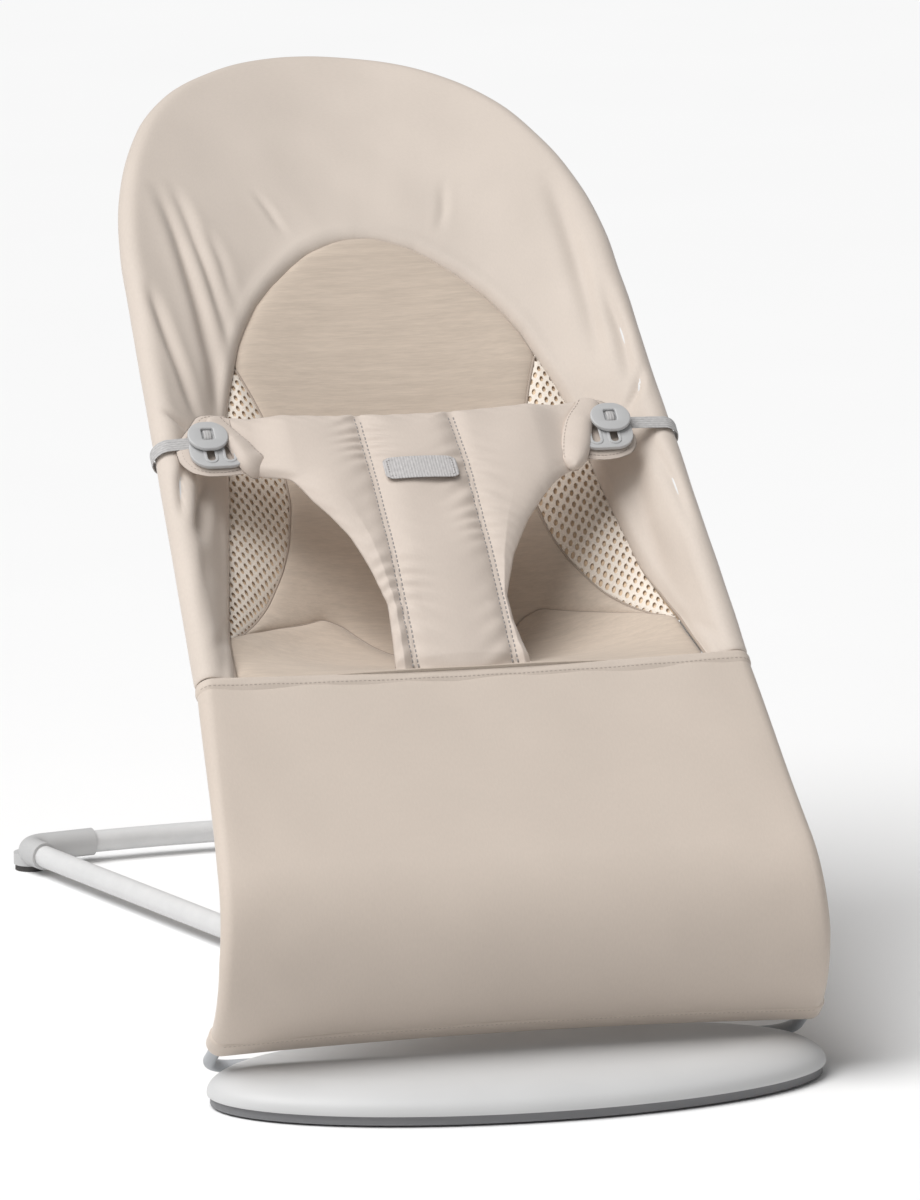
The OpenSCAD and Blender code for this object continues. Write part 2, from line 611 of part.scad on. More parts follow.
module strap_left() {
  strap(hoop_at(tog_s)[0][0] - tog_x);
}
module strap_right() {
  other_side() strap(hoop_at(tog_s)[0][0] - tog_x - 2 * harness_x);
}

base_plate_cover();
base_plate_tray();
plate_antislip_pads();
plate_screws();
pivot_clamp_left();
pivot_clamp_right();
base_tube_left();
base_tube_right();
base_rear_tube();
foot_elbow_left();
foot_elbow_right();
foot_sole_left();
foot_sole_right();
bow_bracket_left();
bow_bracket_right();
bracket_screws();
support_bow();
lower_spring_frame();
notch_rack_left();
notch_rack_right();
rack_screws();
leg_panel();
leg_hem();
seam_band();
upper_frame_hoop();
hoop_collars();
backrest_cover();
backrest_rear_panel();
seat_pad();
seat_pad_lower();
mesh_gusset_left();
mesh_gusset_right();
harness_front();
harness_label();
slotted_plate_left();
slotted_plate_right();
toggle_left();
toggle_right();
strap_left();
strap_right();
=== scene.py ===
"""Looks of the bouncer seat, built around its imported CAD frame.

Lengths are millimetres in the seat's own frame (front faces -Y, +Z up); meshes are made in metres.
On the seat, s runs up the backrest from the knee, x across it and n towards the rear.
"""

import math

import bmesh
import bpy
import numpy as np
from mathutils import Matrix, Vector


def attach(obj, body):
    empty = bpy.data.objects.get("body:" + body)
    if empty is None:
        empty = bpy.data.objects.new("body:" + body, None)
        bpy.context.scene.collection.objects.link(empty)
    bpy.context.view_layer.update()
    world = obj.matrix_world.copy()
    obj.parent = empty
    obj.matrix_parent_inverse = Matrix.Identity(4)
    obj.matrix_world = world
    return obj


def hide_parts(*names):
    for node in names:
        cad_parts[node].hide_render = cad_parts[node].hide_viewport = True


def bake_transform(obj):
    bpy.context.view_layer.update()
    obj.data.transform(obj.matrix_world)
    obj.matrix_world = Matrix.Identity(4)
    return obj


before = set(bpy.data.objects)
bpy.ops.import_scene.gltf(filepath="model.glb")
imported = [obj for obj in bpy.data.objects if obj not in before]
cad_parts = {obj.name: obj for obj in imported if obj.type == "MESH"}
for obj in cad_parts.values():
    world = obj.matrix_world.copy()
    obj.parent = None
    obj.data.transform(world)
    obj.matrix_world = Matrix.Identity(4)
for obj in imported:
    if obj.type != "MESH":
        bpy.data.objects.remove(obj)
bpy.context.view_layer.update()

MM = 0.001

# ---- seat geometry
KNEE = np.array([0.0, -189.5, 242.6])
SLOPE = math.radians(36.74)
UP = np.array([0.0, math.cos(SLOPE), math.sin(SLOPE)])
REAR = np.array([0.0, math.sin(SLOPE), -math.cos(SLOPE)])
S_CURL = 345.0
R_CURL = 607.0
KNEE_HALF = 167.0
HOOP_R = 7.0
WIRE_R = 4.0
WIRE_HALF = 187.0
DEPTH = [(0, 3), (12, 16), (30, 36), (60, 56), (90, 62), (140, 52), (200, 38), (260, 28),
         (320, 20), (388, 11), (600, 6)]
# half width of the padded insert's outline, and of its jersey part beside the mesh
OUTLINE = [(3, 150), (22, 148), (43, 145.5), (72, 140), (100, 134), (140, 127), (177, 120.5),
           (207, 117), (234, 113), (258, 107), (280, 100), (299, 94), (313, 87.5), (332, 77),
           (350, 63), (365, 48.5), (376, 36), (384, 20), (387.2, 9), (388, 0)]
JERSEY = [(43, 144.5), (60, 131), (72, 122), (91, 110), (100, 105), (122, 94), (140, 87),
          (150, 84), (177, 79), (200, 79.5), (207, 80), (234, 84.5), (258, 91.5), (280, 99)]
# arc length along the hoop where each outline point's row of cloth ends
HOOP_STATION = [6, 26, 47, 76, 104, 144, 181, 212, 240, 265, 290, 320, 352, 395, 440, 485, 530,
                572, 612, 655]


def table(points, at, reach=0.0):
    """Value of a table of (place, value) rows, straight past its ends, rounded over +-reach."""
    t = np.asarray(points, float)
    first = t[0, 1] - 200 * (t[1, 1] - t[0, 1]) / (t[1, 0] - t[0, 0])
    last = t[-1, 1] + 200 * (t[-1, 1] - t[-2, 1]) / (t[-1, 0] - t[-2, 0])
    t = np.vstack([[t[0, 0] - 200, first], t, [t[-1, 0] + 200, last]])
    shifts = np.linspace(-reach, reach, 9) if reach else np.zeros(1)
    weights = 1 - np.abs(shifts) / (1.1 * reach) if reach else np.ones(1)
    at = np.asarray(at, float)
    total = sum(w * np.interp(at + d, t[:, 0], t[:, 1]) for w, d in zip(weights, shifts))
    return total / weights.sum()


def share_of(v):
    """Limits v to the range from 0 to 1."""
    return np.clip(v, 0, 1)


def eased(v):
    """The same range with a gentle start and end."""
    v = share_of(v)
    return v * v * (3 - 2 * v)


def unit(v):
    v = np.asarray(v, float)
    return v / np.maximum(np.linalg.norm(v, axis=-1, keepdims=True), 1e-9)


def beta(s):
    return SLOPE - np.maximum(0, s - S_CURL) / R_CURL


def seat(x, s, n):
    """Point of the seat at x across, s up the backrest and n behind its surface."""
    x, s, n = np.broadcast_arrays(np.asarray(x, float), s, n)
    b = beta(s)
    run = np.minimum(s, S_CURL)
    y = KNEE[1] + run * UP[1] + R_CURL * (math.sin(SLOPE) - np.sin(b)) + n * np.sin(b)
    z = KNEE[2] + run * UP[2] + R_CURL * (np.cos(b) - math.cos(SLOPE)) - n * np.cos(b)
    return np.stack([x, y, z], -1)


def half_width(s):
    s = np.asarray(s, float)
    top = 153 * np.sqrt(np.maximum(0, 1 - ((s - 343) / 238) ** 2))
    return np.where(s <= 343, KNEE_HALF - 17 * s / 418.6, top)


def dip(x, s):
    """How far the seat hollow sinks behind the plane of the hoop."""
    side = np.minimum(1, np.abs(x) / np.maximum(half_width(s), 1))
    return table(DEPTH, s, 14) * np.maximum(0, 1 - side ** 2.2) ** 0.8


def rounded_path(corners, radii, step):
    """Points about step apart along straight runs joined by arcs."""
    corners = [np.asarray(c, float) for c in corners]
    points = [corners[0]]
    for before, corner, after, radius in zip(corners, corners[1:], corners[2:], radii[1:]):
        d1 = unit(corner - before)
        d2 = unit(after - corner)
        turn = math.acos(float(d1 @ d2))
        inward = unit(d2 - d1 * (d1 @ d2))
        start = corner - radius * math.tan(turn / 2) * d1
        centre = start + radius * inward
        for a in np.linspace(0, turn, max(4, int(radius * turn / step))):
            points.append(centre + radius * (math.sin(a) * d1 - math.cos(a) * inward))
    points.append(corners[-1])
    return resample(np.array(points), step)


def arc_length(points):
    return np.r_[0, np.cumsum(np.linalg.norm(np.diff(points, axis=0), axis=1))]


def along_line(at, length, values):
    """Values given at each point of a line, read off at some arc lengths."""
    return np.stack([np.interp(at, length, values[:, k]) for k in range(3)], -1)


def resample(points, step):
    """The same line with evenly spaced points."""
    length = arc_length(points)
    at = np.linspace(0, length[-1], max(2, int(round(length[-1] / step)) + 1))
    return along_line(at, length, points)


HOOP_TURN = KNEE + 418.6 * UP + [150, 0, 0]
HOOP_CORNERS = [KNEE + [KNEE_HALF, 0, 0], HOOP_TURN, (101, 252, 538), (33.7, 298, 550)]
HOOP_RADII = [0, 328, 168, 95]
HOOP_DIR = unit(HOOP_CORNERS[1] - HOOP_CORNERS[0])
HOOP_HALF = rounded_path(HOOP_CORNERS + [(-33.7, 298, 550)], HOOP_RADII, 1.0)
HOOP_HALF = HOOP_HALF[HOOP_HALF[:, 0] >= 0]


def hoop(t):
    """Centre and direction of the right half of the hoop at arc length t from the knee."""
    t = np.asarray(t, float)
    length = arc_length(HOOP_HALF)
    centre = along_line(t, length, HOOP_HALF)
    along = unit(along_line(t, length, np.gradient(HOOP_HALF, axis=0)))
    return centre + np.minimum(0, t)[..., None] * along, along


def mirrored(points):
    return points * np.array([-1.0, 1, 1])


# ---- mesh helpers
def add_object(name, data):
    """A new object in the scene."""
    obj = bpy.data.objects.new(name, data)
    bpy.context.scene.collection.objects.link(obj)
    return obj


def new_mesh(name, points, faces, material, uv=None):
    """A mesh object from points in millimetres."""
    mesh = bpy.data.meshes.new(name)
    mesh.from_pydata((np.asarray(points, float) * MM).tolist(), [], faces)
    mesh.polygons.foreach_set("use_smooth", [True] * len(mesh.polygons))
    if uv is not None:
        corner = np.zeros(len(mesh.loops), int)
        mesh.loops.foreach_get("vertex_index", corner)
        layer = mesh.uv_layers.new(name="UVMap")
        layer.data.foreach_set("uv", np.asarray(uv, float)[corner].ravel())
    mesh.materials.append(material)
    mesh.update()
    return add_object(name, mesh)


def stand_in(obj, node, body="seat_upper"):
    """The piece takes a CAD node's place, the node hidden, and rides on a body when one is given."""
    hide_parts(node)
    if body:
        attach(obj, body)


def normals(grid):
    return unit(np.cross(np.gradient(grid, axis=0), np.gradient(grid, axis=1)))


def facing(grid, way, row, column):
    """The grid's normals, on the side that faces the given way at one of its points."""
    found = normals(grid)
    return found if found[row, column] @ way > 0 else -found


def grid_uv(grid):
    """Flat cloth coordinates in metres: arc length across and along the grid."""
    across = np.linalg.norm(np.diff(grid, axis=1), axis=2)
    across = np.concatenate([np.zeros((len(grid), 1)), np.cumsum(across, 1)], 1)
    across -= across[:, grid.shape[1] // 2][:, None]
    along = np.linalg.norm(np.diff(grid, axis=0), axis=2).mean(1)
    along = np.r_[0, np.cumsum(along)]
    return np.stack([across, np.broadcast_to(along[:, None], across.shape)], -1) * MM


def quads(n, m, start=0, flip=False):
    i, j = np.meshgrid(np.arange(n - 1), np.arange(m - 1), indexing="ij")
    a = start + i * m + j
    f = np.stack([a, a + m, a + m + 1, a + 1], -1).reshape(-1, 4)
    return (f[:, ::-1] if flip else f).tolist()


def ring_faces(n, m):
    """Faces between n closed rings of m points each."""
    i, j = np.meshgrid(np.arange(n - 1), np.arange(m), indexing="ij")
    a, b = i * m + j, i * m + (j + 1) % m
    return np.stack([a, b, b + m, a + m], -1).reshape(-1, 4).tolist()


def border(n, m):
    """Grid indices once round the edge."""
    top = [(0, j) for j in range(m)]
    right = [(i, m - 1) for i in range(1, n)]
    bottom = [(n - 1, j) for j in range(m - 2, -1, -1)]
    left = [(i, 0) for i in range(n - 2, 0, -1)]
    return top + right + bottom + left


def closed(name, front, back, material, rim=0.0):
    """A closed piece between two grids, its edge rounded out by rim."""
    n, m = front.shape[:2]
    edge = np.array(border(n, m))
    inner = edge.copy()
    inner[:, 0] = np.clip(edge[:, 0], 1, n - 2)
    inner[:, 1] = np.clip(edge[:, 1], 1, m - 2)
    middle = (front + back) / 2
    at = middle[edge[:, 0], edge[:, 1]]
    out = unit(at - middle[inner[:, 0], inner[:, 1]])
    points = np.concatenate([front.reshape(-1, 3), back.reshape(-1, 3), at + rim * out])
    flat = edge[:, 0] * m + edge[:, 1]
    layer = n * m
    rim_points = 2 * layer + np.arange(len(edge))
    a, b, c, d = flat, np.roll(flat, -1), rim_points, np.roll(rim_points, -1)
    faces = quads(n, m) + quads(n, m, layer, True) + np.stack([a, b, d, c], 1).tolist()
    faces += np.stack([c, d, b + layer, a + layer], 1).tolist()
    uv = grid_uv(front).reshape(-1, 2)
    uv = np.concatenate([uv, uv, uv[flat]])
    return new_mesh(name, points, faces, material, uv)


def cloth(name, grid, thickness, material):
    """A closed sheet of cloth of that thickness behind and before a grid of points."""
    half = np.full(grid.shape[:2] + (1,), thickness / 2)
    half[[0, -1]] *= 0.6
    half[:, [0, -1]] *= 0.6
    nor = normals(grid)
    return closed(name, grid + nor * half, grid - nor * half, material, 0.4 * thickness)


def tube(name, line, radius, material, sides=8):
    """A closed round rod along a line."""
    along = unit(np.gradient(line, axis=0))
    ref = np.array([1.0, 0.13, 0.07])
    a = unit(ref - along * (along * ref).sum(-1, keepdims=True))
    b = np.cross(along, a)
    q = np.linspace(0, 2 * math.pi, sides, endpoint=False)
    ring = np.cos(q)[None, :, None] * a[:, None] + np.sin(q)[None, :, None] * b[:, None]
    points = (line[:, None] + radius * ring).reshape(-1, 3)
    faces = ring_faces(len(line), sides) + [list(range(sides))[::-1]]
    faces.append(list(range((len(line) - 1) * sides, len(line) * sides)))
    uv = np.stack(np.meshgrid(arc_length(line), q * radius, indexing="ij"), -1) * MM
    return new_mesh(name, points, faces, material, uv.reshape(-1, 2))


STITCH_SIDES = 6
STITCH_RINGS = np.array([(-0.5, 0.35), (-0.32, 1.0), (0.32, 1.0), (0.5, 0.35)])


def stitches(name, line, normal, pitch, length, radius, material, lift=0.0):
    """Sewing thread: one small capsule per stitch along a line."""
    line = resample(line, 1.0)
    step = arc_length(line)
    q = np.arange(STITCH_SIDES) * 2 * math.pi / STITCH_SIDES
    place, size = STITCH_RINGS[:, 0, None, None], STITCH_RINGS[:, 1, None, None]
    sag = -1.2 * radius * (2 * place) ** 2
    count = len(STITCH_RINGS) * STITCH_SIDES
    pattern = ring_faces(len(STITCH_RINGS), STITCH_SIDES)
    ends = [np.arange(STITCH_SIDES)[::-1], np.arange(count - STITCH_SIDES, count)]
    points, faces = [], []
    for at in np.arange(pitch / 2, step[-1] - pitch / 2, pitch):
        centre, ahead = along_line([at, at + 0.8], step, line)
        along = unit(ahead - centre)
        up = unit(normal - along * (along @ normal))
        side = np.cross(along, up)
        round_it = np.cos(q)[None, :, None] * side + 0.8 * np.sin(q)[None, :, None] * up
        capsule = centre + along * place * length + up * (lift + sag) + radius * size * round_it
        start = len(points) * count
        points.append(capsule.reshape(-1, 3))
        faces += (np.array(pattern) + start).tolist() + [(e + start).tolist() for e in ends]
    return new_mesh(name, np.concatenate(points), faces, material)


def weld(obj, distance=0.00002):
    """Joins points that coincide and turns every face outward."""
    work = bmesh.new()
    work.from_mesh(obj.data)
    bmesh.ops.remove_doubles(work, verts=work.verts, dist=distance)
    bmesh.ops.recalc_face_normals(work, faces=work.faces)
    work.to_mesh(obj.data)
    work.free()


def sharpen(obj, degrees):
    """Smooth shading, with sharp edges where faces meet at more than this angle."""
    obj.data.polygons.foreach_set("use_smooth", [True] * len(obj.data.polygons))
    obj.data.set_sharp_from_angle(angle=math.radians(degrees))


def rounded_rectangle(length, width, radius, centre=(0, 0), corner_points=8):
    points = []
    for k, (sx, sy) in enumerate([(1, 1), (-1, 1), (-1, -1), (1, -1)]):
        for q in np.linspace(0, math.pi / 2, corner_points) + k * math.pi / 2:
            points.append((centre[0] + sx * (length / 2 - radius) + radius * math.cos(q),
                           centre[1] + sy * (width / 2 - radius) + radius * math.sin(q)))
    return points


# ---- materials
def srgb(r, g, b):
    """Linear colour from display values of 0 to 255."""
    out = []
    for c in (r, g, b):
        c /= 255
        out.append(c / 12.92 if c <= 0.04045 else ((c + 0.055) / 1.055) ** 2.4)
    return (*out, 1.0)


class Paint:
    """A node material with the usual steps: colour variation, bump and gloss."""

    def __init__(self, name, colour, roughness, sheen=0.0, specular=0.5):
        self.material = bpy.data.materials.new(name)
        self.material.use_nodes = True
        self.tree = self.material.node_tree
        self.shader = self.tree.nodes["Principled BSDF"]
        values = {"Base Color": colour, "Roughness": roughness, "Specular IOR Level": specular,
                  "Sheen Weight": sheen, "Sheen Roughness": 0.4}
        for socket, value in values.items():
            self.shader.inputs[socket].default_value = value
        self.colour = colour
        self.height = None

    def node(self, kind, **settings):
        made = self.tree.nodes.new(kind)
        for key, value in settings.items():
            setattr(made, key, value)
        return made

    def link(self, source, target):
        self.tree.links.new(source, target)

    def coords(self, stretch=(1, 1, 1), use="UV"):
        place = self.node("ShaderNodeTexCoord")
        scaled = self.node("ShaderNodeMapping")
        scaled.inputs["Scale"].default_value = stretch
        self.link(place.outputs[use], scaled.inputs["Vector"])
        return scaled.outputs["Vector"]

    def noise(self, scale, detail=2.0, stretch=(1, 1, 1), use="UV", rough=0.5):
        made = self.node("ShaderNodeTexNoise")
        made.inputs["Scale"].default_value = scale
        made.inputs["Detail"].default_value = detail
        made.inputs["Roughness"].default_value = rough
        self.link(self.coords(stretch, use), made.inputs["Vector"])
        return made.outputs["Fac"]

    def wave(self, scale, direction, use="UV"):
        made = self.node("ShaderNodeTexWave", bands_direction=direction)
        made.inputs["Scale"].default_value = scale
        self.link(self.coords(use=use), made.inputs["Vector"])
        return made.outputs["Fac"]

    def vary(self, factor, low, high, amount):
        """Mixes the colour between a darker and a lighter shade of itself by factor."""
        ramp = self.node("ShaderNodeValToRGB")
        shades = ((low, 1 - amount), (high, 1 + amount))
        for element, (place, shade) in zip(ramp.color_ramp.elements, shades):
            element.position = place
            element.color = (shade, shade, shade, 1)
        self.link(factor, ramp.inputs["Fac"])
        mix = self.node("ShaderNodeMix", data_type="RGBA", blend_type="MULTIPLY")
        mix.inputs[0].default_value = 1.0
        base = self.shader.inputs["Base Color"]
        if base.is_linked:
            self.link(base.links[0].from_socket, mix.inputs[6])
        else:
            mix.inputs[6].default_value = self.colour
        self.link(ramp.outputs["Color"], mix.inputs[7])
        self.link(mix.outputs[2], base)
        return self

    def bump(self, factor, distance, strength=1.0):
        made = self.node("ShaderNodeBump")
        made.inputs["Distance"].default_value = distance * MM
        made.inputs["Strength"].default_value = strength
        self.link(factor, made.inputs["Height"])
        if self.height is not None:
            self.link(self.height, made.inputs["Normal"])
        self.height = made.outputs["Normal"]
        self.link(self.height, self.shader.inputs["Normal"])
        return self

    def polish(self, factor, low, high):
        ramp = self.node("ShaderNodeMapRange")
        ramp.inputs["To Min"].default_value = low
        ramp.inputs["To Max"].default_value = high
        self.link(factor, ramp.inputs["Value"])
        self.link(ramp.outputs["Result"], self.shader.inputs["Roughness"])
        return self

    def weave(self, threads_per_m, depth):
        """Warp and weft as two crossed waves."""
        both = self.node("ShaderNodeMath", operation="MULTIPLY")
        self.link(self.wave(threads_per_m, "X"), both.inputs[0])
        self.link(self.wave(threads_per_m, "Y"), both.inputs[1])
        return self.bump(both.outputs[0], depth, 0.35)


def cotton(name, colour, sheen=0.25):
    """Smooth, closely woven cotton with soft shade changes."""
    paint = Paint(name, colour, 0.62, sheen=sheen, specular=0.32)
    paint.vary(paint.noise(14, 3), 0.3, 0.7, 0.022)
    paint.vary(paint.noise(900, 2, (1, 0.35, 1)), 0.3, 0.7, 0.018)
    paint.bump(paint.noise(26, 3), 0.5, 0.35)
    return paint.weave(520, 0.10).material


def jersey(name, colour):
    """Brushed jersey with fine heather streaks across the seat."""
    paint = Paint(name, colour, 0.8, sheen=0.35, specular=0.2)
    streak = (0.2, 2.2, 2.6)
    paint.vary(paint.noise(110, 4, streak, "Object", 0.65), 0.36, 0.66, 0.05)
    paint.vary(paint.noise(420, 3, streak, "Object", 0.6), 0.35, 0.65, 0.04)
    paint.bump(paint.noise(330, 3, streak, "Object"), 0.2, 0.5)
    return paint.bump(paint.noise(1500, 2), 0.08, 0.5).material


def mesh_knit(name, colour):
    paint = Paint(name, colour, 0.72, sheen=0.25, specular=0.25)
    paint.vary(paint.noise(700, 3, use="Object"), 0.3, 0.7, 0.06)
    return paint.bump(paint.noise(1600, 2, use="Object"), 0.18, 0.7).material


def webbing(name, colour):
    """Woven elastic: fine ribs along its length and a crossed weave."""
    paint = Paint(name, colour, 0.7, sheen=0.2, specular=0.3)
    ribs = paint.wave(170, "X")
    paint.vary(ribs, 0.2, 0.8, 0.08)
    paint.vary(paint.noise(700, 2, (1, 0.5, 1)), 0.3, 0.7, 0.12)
    paint.bump(ribs, 0.25, 0.6)
    return paint.weave(700, 0.2).material


def moulded(name, colour, roughness, grain=0.05):
    """Moulded plastic: fine satin grain and faint handling wear."""
    paint = Paint(name, colour, roughness, specular=0.45)
    paint.vary(paint.noise(18, 3, use="Object"), 0.3, 0.75, 0.02)
    paint.polish(paint.noise(45, 4, use="Object"), roughness - 0.07, roughness + 0.09)
    return paint.bump(paint.noise(2600, 2, use="Object"), grain, 0.45).material


def coated(name, colour, roughness, metal=0.0):
    """Powder coat: a fine orange peel with small scuffs."""
    paint = Paint(name, colour, roughness, specular=0.5)
    paint.shader.inputs["Metallic"].default_value = metal
    paint.vary(paint.noise(60, 5, use="Object", rough=0.7), 0.35, 0.7, 0.03)
    paint.polish(paint.noise(120, 4, use="Object"), roughness - 0.06, roughness + 0.1)
    return paint.bump(paint.noise(1300, 2, use="Object"), 0.05, 0.5).material


def thread(name, colour):
    paint = Paint(name, colour, 0.65, sheen=0.3, specular=0.3)
    paint.vary(paint.noise(3000, 2, use="Object"), 0.3, 0.7, 0.12)
    return paint.bump(paint.noise(4500, 2, use="Object"), 0.08, 0.6).material


COVER = cotton("cover_cotton", srgb(209, 197, 186))
PANEL = cotton("leg_panel_cotton", srgb(203, 190, 178))
HARNESS = cotton("harness_cotton", srgb(206, 193, 182), sheen=0.3)
JERSEY_MAT = jersey("heather_jersey", srgb(198, 183, 168))
MESH_MAT = mesh_knit("cream_mesh", srgb(236, 226, 214))
MESH_BACK = mesh_knit("mesh_lining", srgb(224, 200, 172))
WEBBING = webbing("grey_webbing", srgb(184, 182, 181))
LABEL = webbing("blank_label", srgb(192, 189, 188))
THREAD = thread("grey_thread", srgb(146, 142, 140))
FINE_THREAD = thread("beige_thread", srgb(176, 164, 154))
PIPING = cotton("seam_piping", srgb(172, 157, 144))
PLATE_GREY = moulded("plate_plastic", srgb(203, 203, 203), 0.46)
# the tray's dark grey, far below the plate's, is painted shade for the plate's downward-facing
# underside and edge
TRAY_SHADE_GREY = moulded("tray_plastic", srgb(122, 122, 124), 0.5)
BUTTON_GREY = moulded("button_plastic", srgb(184, 184, 184), 0.4, 0.03)
ELBOW_GREY = moulded("elbow_plastic", srgb(190, 190, 190), 0.5)
RUBBER = moulded("dark_rubber", srgb(72, 70, 69), 0.75, 0.12)
TUBE_PAINT = coated("tube_powder_coat", srgb(214, 214, 214), 0.38)
WIRE_PAINT = coated("wire_powder_coat", srgb(168, 171, 175), 0.36)
ZINC = coated("zinc_screws", srgb(190, 190, 188), 0.3, metal=0.9)


# ---- folds in the cover
# points (x, s) down each fold, its depth and half width
FOLDS = [
    ([(-127, 425), (-121, 384), (-117, 330), (-115, 276), (-118, 232)], 3.6, 6.5),
    ([(-116, 428), (-111, 393), (-105, 347), (-101, 300)], 2.6, 5.5),
    ([(-150, 330), (-144, 286), (-139, 251), (-136, 222)], 2.6, 5.0),
    ([(-101, 392), (-95, 362), (-93, 330)], 1.1, 5.0),
    ([(-139, 176), (-146, 147), (-155, 112)], 3.2, 5.0),
    ([(-151, 180), (-158, 160), (-163, 128)], 2.2, 4.0),
    ([(-160, 222), (-152, 214), (-140, 205)], 1.8, 3.5),
    ([(-152, 104), (-159, 66), (-163, 30)], 1.5, 5.0),
    ([(-143, 60), (-152, 34), (-164, 14)], 1.8, 4.0),
    ([(133, 420), (136, 360), (137, 300), (136, 250)], 1.8, 7.0),
    ([(148, 320), (151, 272), (150, 226)], 2.0, 5.5),
    ([(158, 240), (152, 222), (143, 208)], 1.8, 3.5),
    ([(140, 172), (140, 120), (147, 60)], 1.8, 6.0),
    ([(152, 182), (158, 140), (161, 90)], 1.6, 4.5),
    ([(145, 48), (152, 24), (160, 8)], 1.4, 4.0),
    ([(-60, 430), (-52, 408), (-48, 392)], 0.7, 4.0),
    ([(66, 432), (62, 408), (56, 388)], 0.7, 4.0),
]


def line_distance(x, s, points):
    """Distance to a line of points and how far along it, from 0 to 1."""
    points = np.asarray(points, float)
    best = np.full(x.shape, 1e9)
    share = np.zeros(x.shape)
    lengths = np.linalg.norm(np.diff(points, axis=0), axis=1)
    start = np.r_[0, np.cumsum(lengths)]
    for k, (a, b) in enumerate(zip(points, points[1:])):
        d = b - a
        t = share_of(((x - a[0]) * d[0] + (s - a[1]) * d[1]) / (d @ d))
        far = np.hypot(x - a[0] - t * d[0], s - a[1] - t * d[1])
        near = far < best
        best = np.where(near, far, best)
        share = np.where(near, (start[k] + t * lengths[k]) / start[-1], share)
    return best, share


def fold_depth(x, s):
    total = np.zeros(np.broadcast(x, s).shape)
    for points, depth, width in FOLDS:
        far, share = line_distance(x, s, points)
        u = (far / width) ** 2
        taper = np.sin(math.pi * np.clip(share, 0.02, 0.98)) ** 0.7
        total += depth * taper * (1 - 0.75 * u) * np.exp(-0.8 * u)
    return total


def soft_waves(a, b, sizes, seed):
    """Low random undulation over two coordinates, about +-1."""
    rng = np.random.default_rng(seed)
    total = np.zeros(np.broadcast(a, b).shape)
    for _ in range(10):
        q = rng.uniform(0, 2 * math.pi)
        size = rng.uniform(*sizes)
        total = total + np.sin((a * math.cos(q) + b * math.sin(q)) / size * 2 * math.pi
                               + rng.uniform(0, 6.28))
    return total / 4


def seat_coords(points):
    """x and s of points near the seat."""
    return points[..., 0], (points - KNEE) @ UP


# ---- backrest cover
COVER_WRAP = math.radians(212)
COVER_GAP = 1.8


def cover_half(stations, straight=30, around=22):
    """Right half of the cover: from the insert's outline to the hoop and round behind it."""
    s, x = (table(list(zip(HOOP_STATION, [p[k] for p in OUTLINE])), stations, 6) for k in (0, 1))
    x = np.where(stations > HOOP_STATION[-1] - 8, np.maximum(x, 0), x)
    centre, along = hoop(stations)
    share = share_of((centre[:, 1] - 87) / 211)
    b = beta(S_CURL + (580 - S_CURL) * share)
    rear = np.stack([0 * b, np.sin(b), -np.cos(b)], -1)
    out = unit(np.cross(rear, along))
    inner = seat(x, s, dip(x, s) + 0.3)
    r = HOOP_R + COVER_GAP
    offset = inner - centre
    a = (offset * out).sum(-1)
    f = -(offset * rear).sum(-1)
    q0 = np.arctan2(a, f) + np.arccos(np.minimum(1, r / np.hypot(a, f)))
    arc = q0[:, None] + (COVER_WRAP - q0[:, None]) * np.linspace(0, 1, around) ** 0.9
    ring = (centre[:, None] + r * (np.sin(arc)[..., None] * out[:, None]
                                   - np.cos(arc)[..., None] * rear[:, None]))
    v = np.linspace(0, 1, straight, endpoint=False)[None, :, None]
    flat = inner[:, None] + (ring[:, :1] - inner[:, None]) * v
    # the sewn edge turns in, the cloth bellies a little between the seam and the hoop
    width = np.linalg.norm(ring[:, 0] - inner, axis=-1)[:, None]
    belly = np.sin(math.pi * v[..., 0]) * np.minimum(0.02 * width, 2.2)
    from_seam = v[..., 0] * width
    lip = -2.0 * np.exp(-(from_seam / 2.2) ** 2) + 1.3 * np.exp(-((from_seam - 5) / 4.5) ** 2)
    # beside the notch racks there is no room behind the cloth
    clear = share_of((stations - 60) / 50)[:, None]
    lip = np.where(lip < 0, lip * clear, lip)
    flat = flat - rear[:, None] * (belly + lip)[..., None]
    return np.concatenate([flat, ring], 1)


def make_cover():
    half = cover_half(np.linspace(-6, HOOP_STATION[-1], 238))
    half[-1, :, 0] = 0
    grid = np.concatenate([half, mirrored(half[-2::-1])])
    x, s = seat_coords(grid)
    # low down the notch racks are close behind the cloth
    deep = 0.55 + 1.15 * share_of((s - 60) / 70)
    depth = deep * fold_depth(x, s) + 0.5 * soft_waves(x, s, (45, 110), 3)
    depth = np.where(s < 110, np.minimum(depth, 0.7 + 0.06 * np.maximum(0, s - 60)), depth)
    columns = np.arange(grid.shape[1])
    front = share_of((44 - columns) / 10) * share_of(columns / 4)
    grid = grid + facing(grid, REAR, 60, 10) * (depth * front)[..., None]
    obj = cloth("backrest_cover_cloth", grid, 2.2, COVER)
    stand_in(obj, "backrest_cover")
    line = resample(grid[:, 0], 3.0)
    sunk = 1.2 - 1.9 * share_of((110 - seat_coords(line)[1]) / 40)
    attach(tube("pad_outline_piping", line + REAR * sunk[:, None], 1.1, PIPING), "seat_upper")


def hoop_on_seat():
    """For points up the hoop: their s, and how far out and behind the surface they lie."""
    s = np.arange(0, 620, 0.5)
    middle = seat(0, s, 0)[:, 1:]
    points = HOOP_HALF[::4]
    away = points[:, None, 1:] - middle[None]
    near = np.argmin((away ** 2).sum(2), 1)
    b = beta(s[near])
    behind = (away[np.arange(len(points)), near] * np.stack([np.sin(b), -np.cos(b)], 1)).sum(1)
    order = np.argsort(s[near], kind="stable")
    return s[near][order], points[order, 0], behind[order]


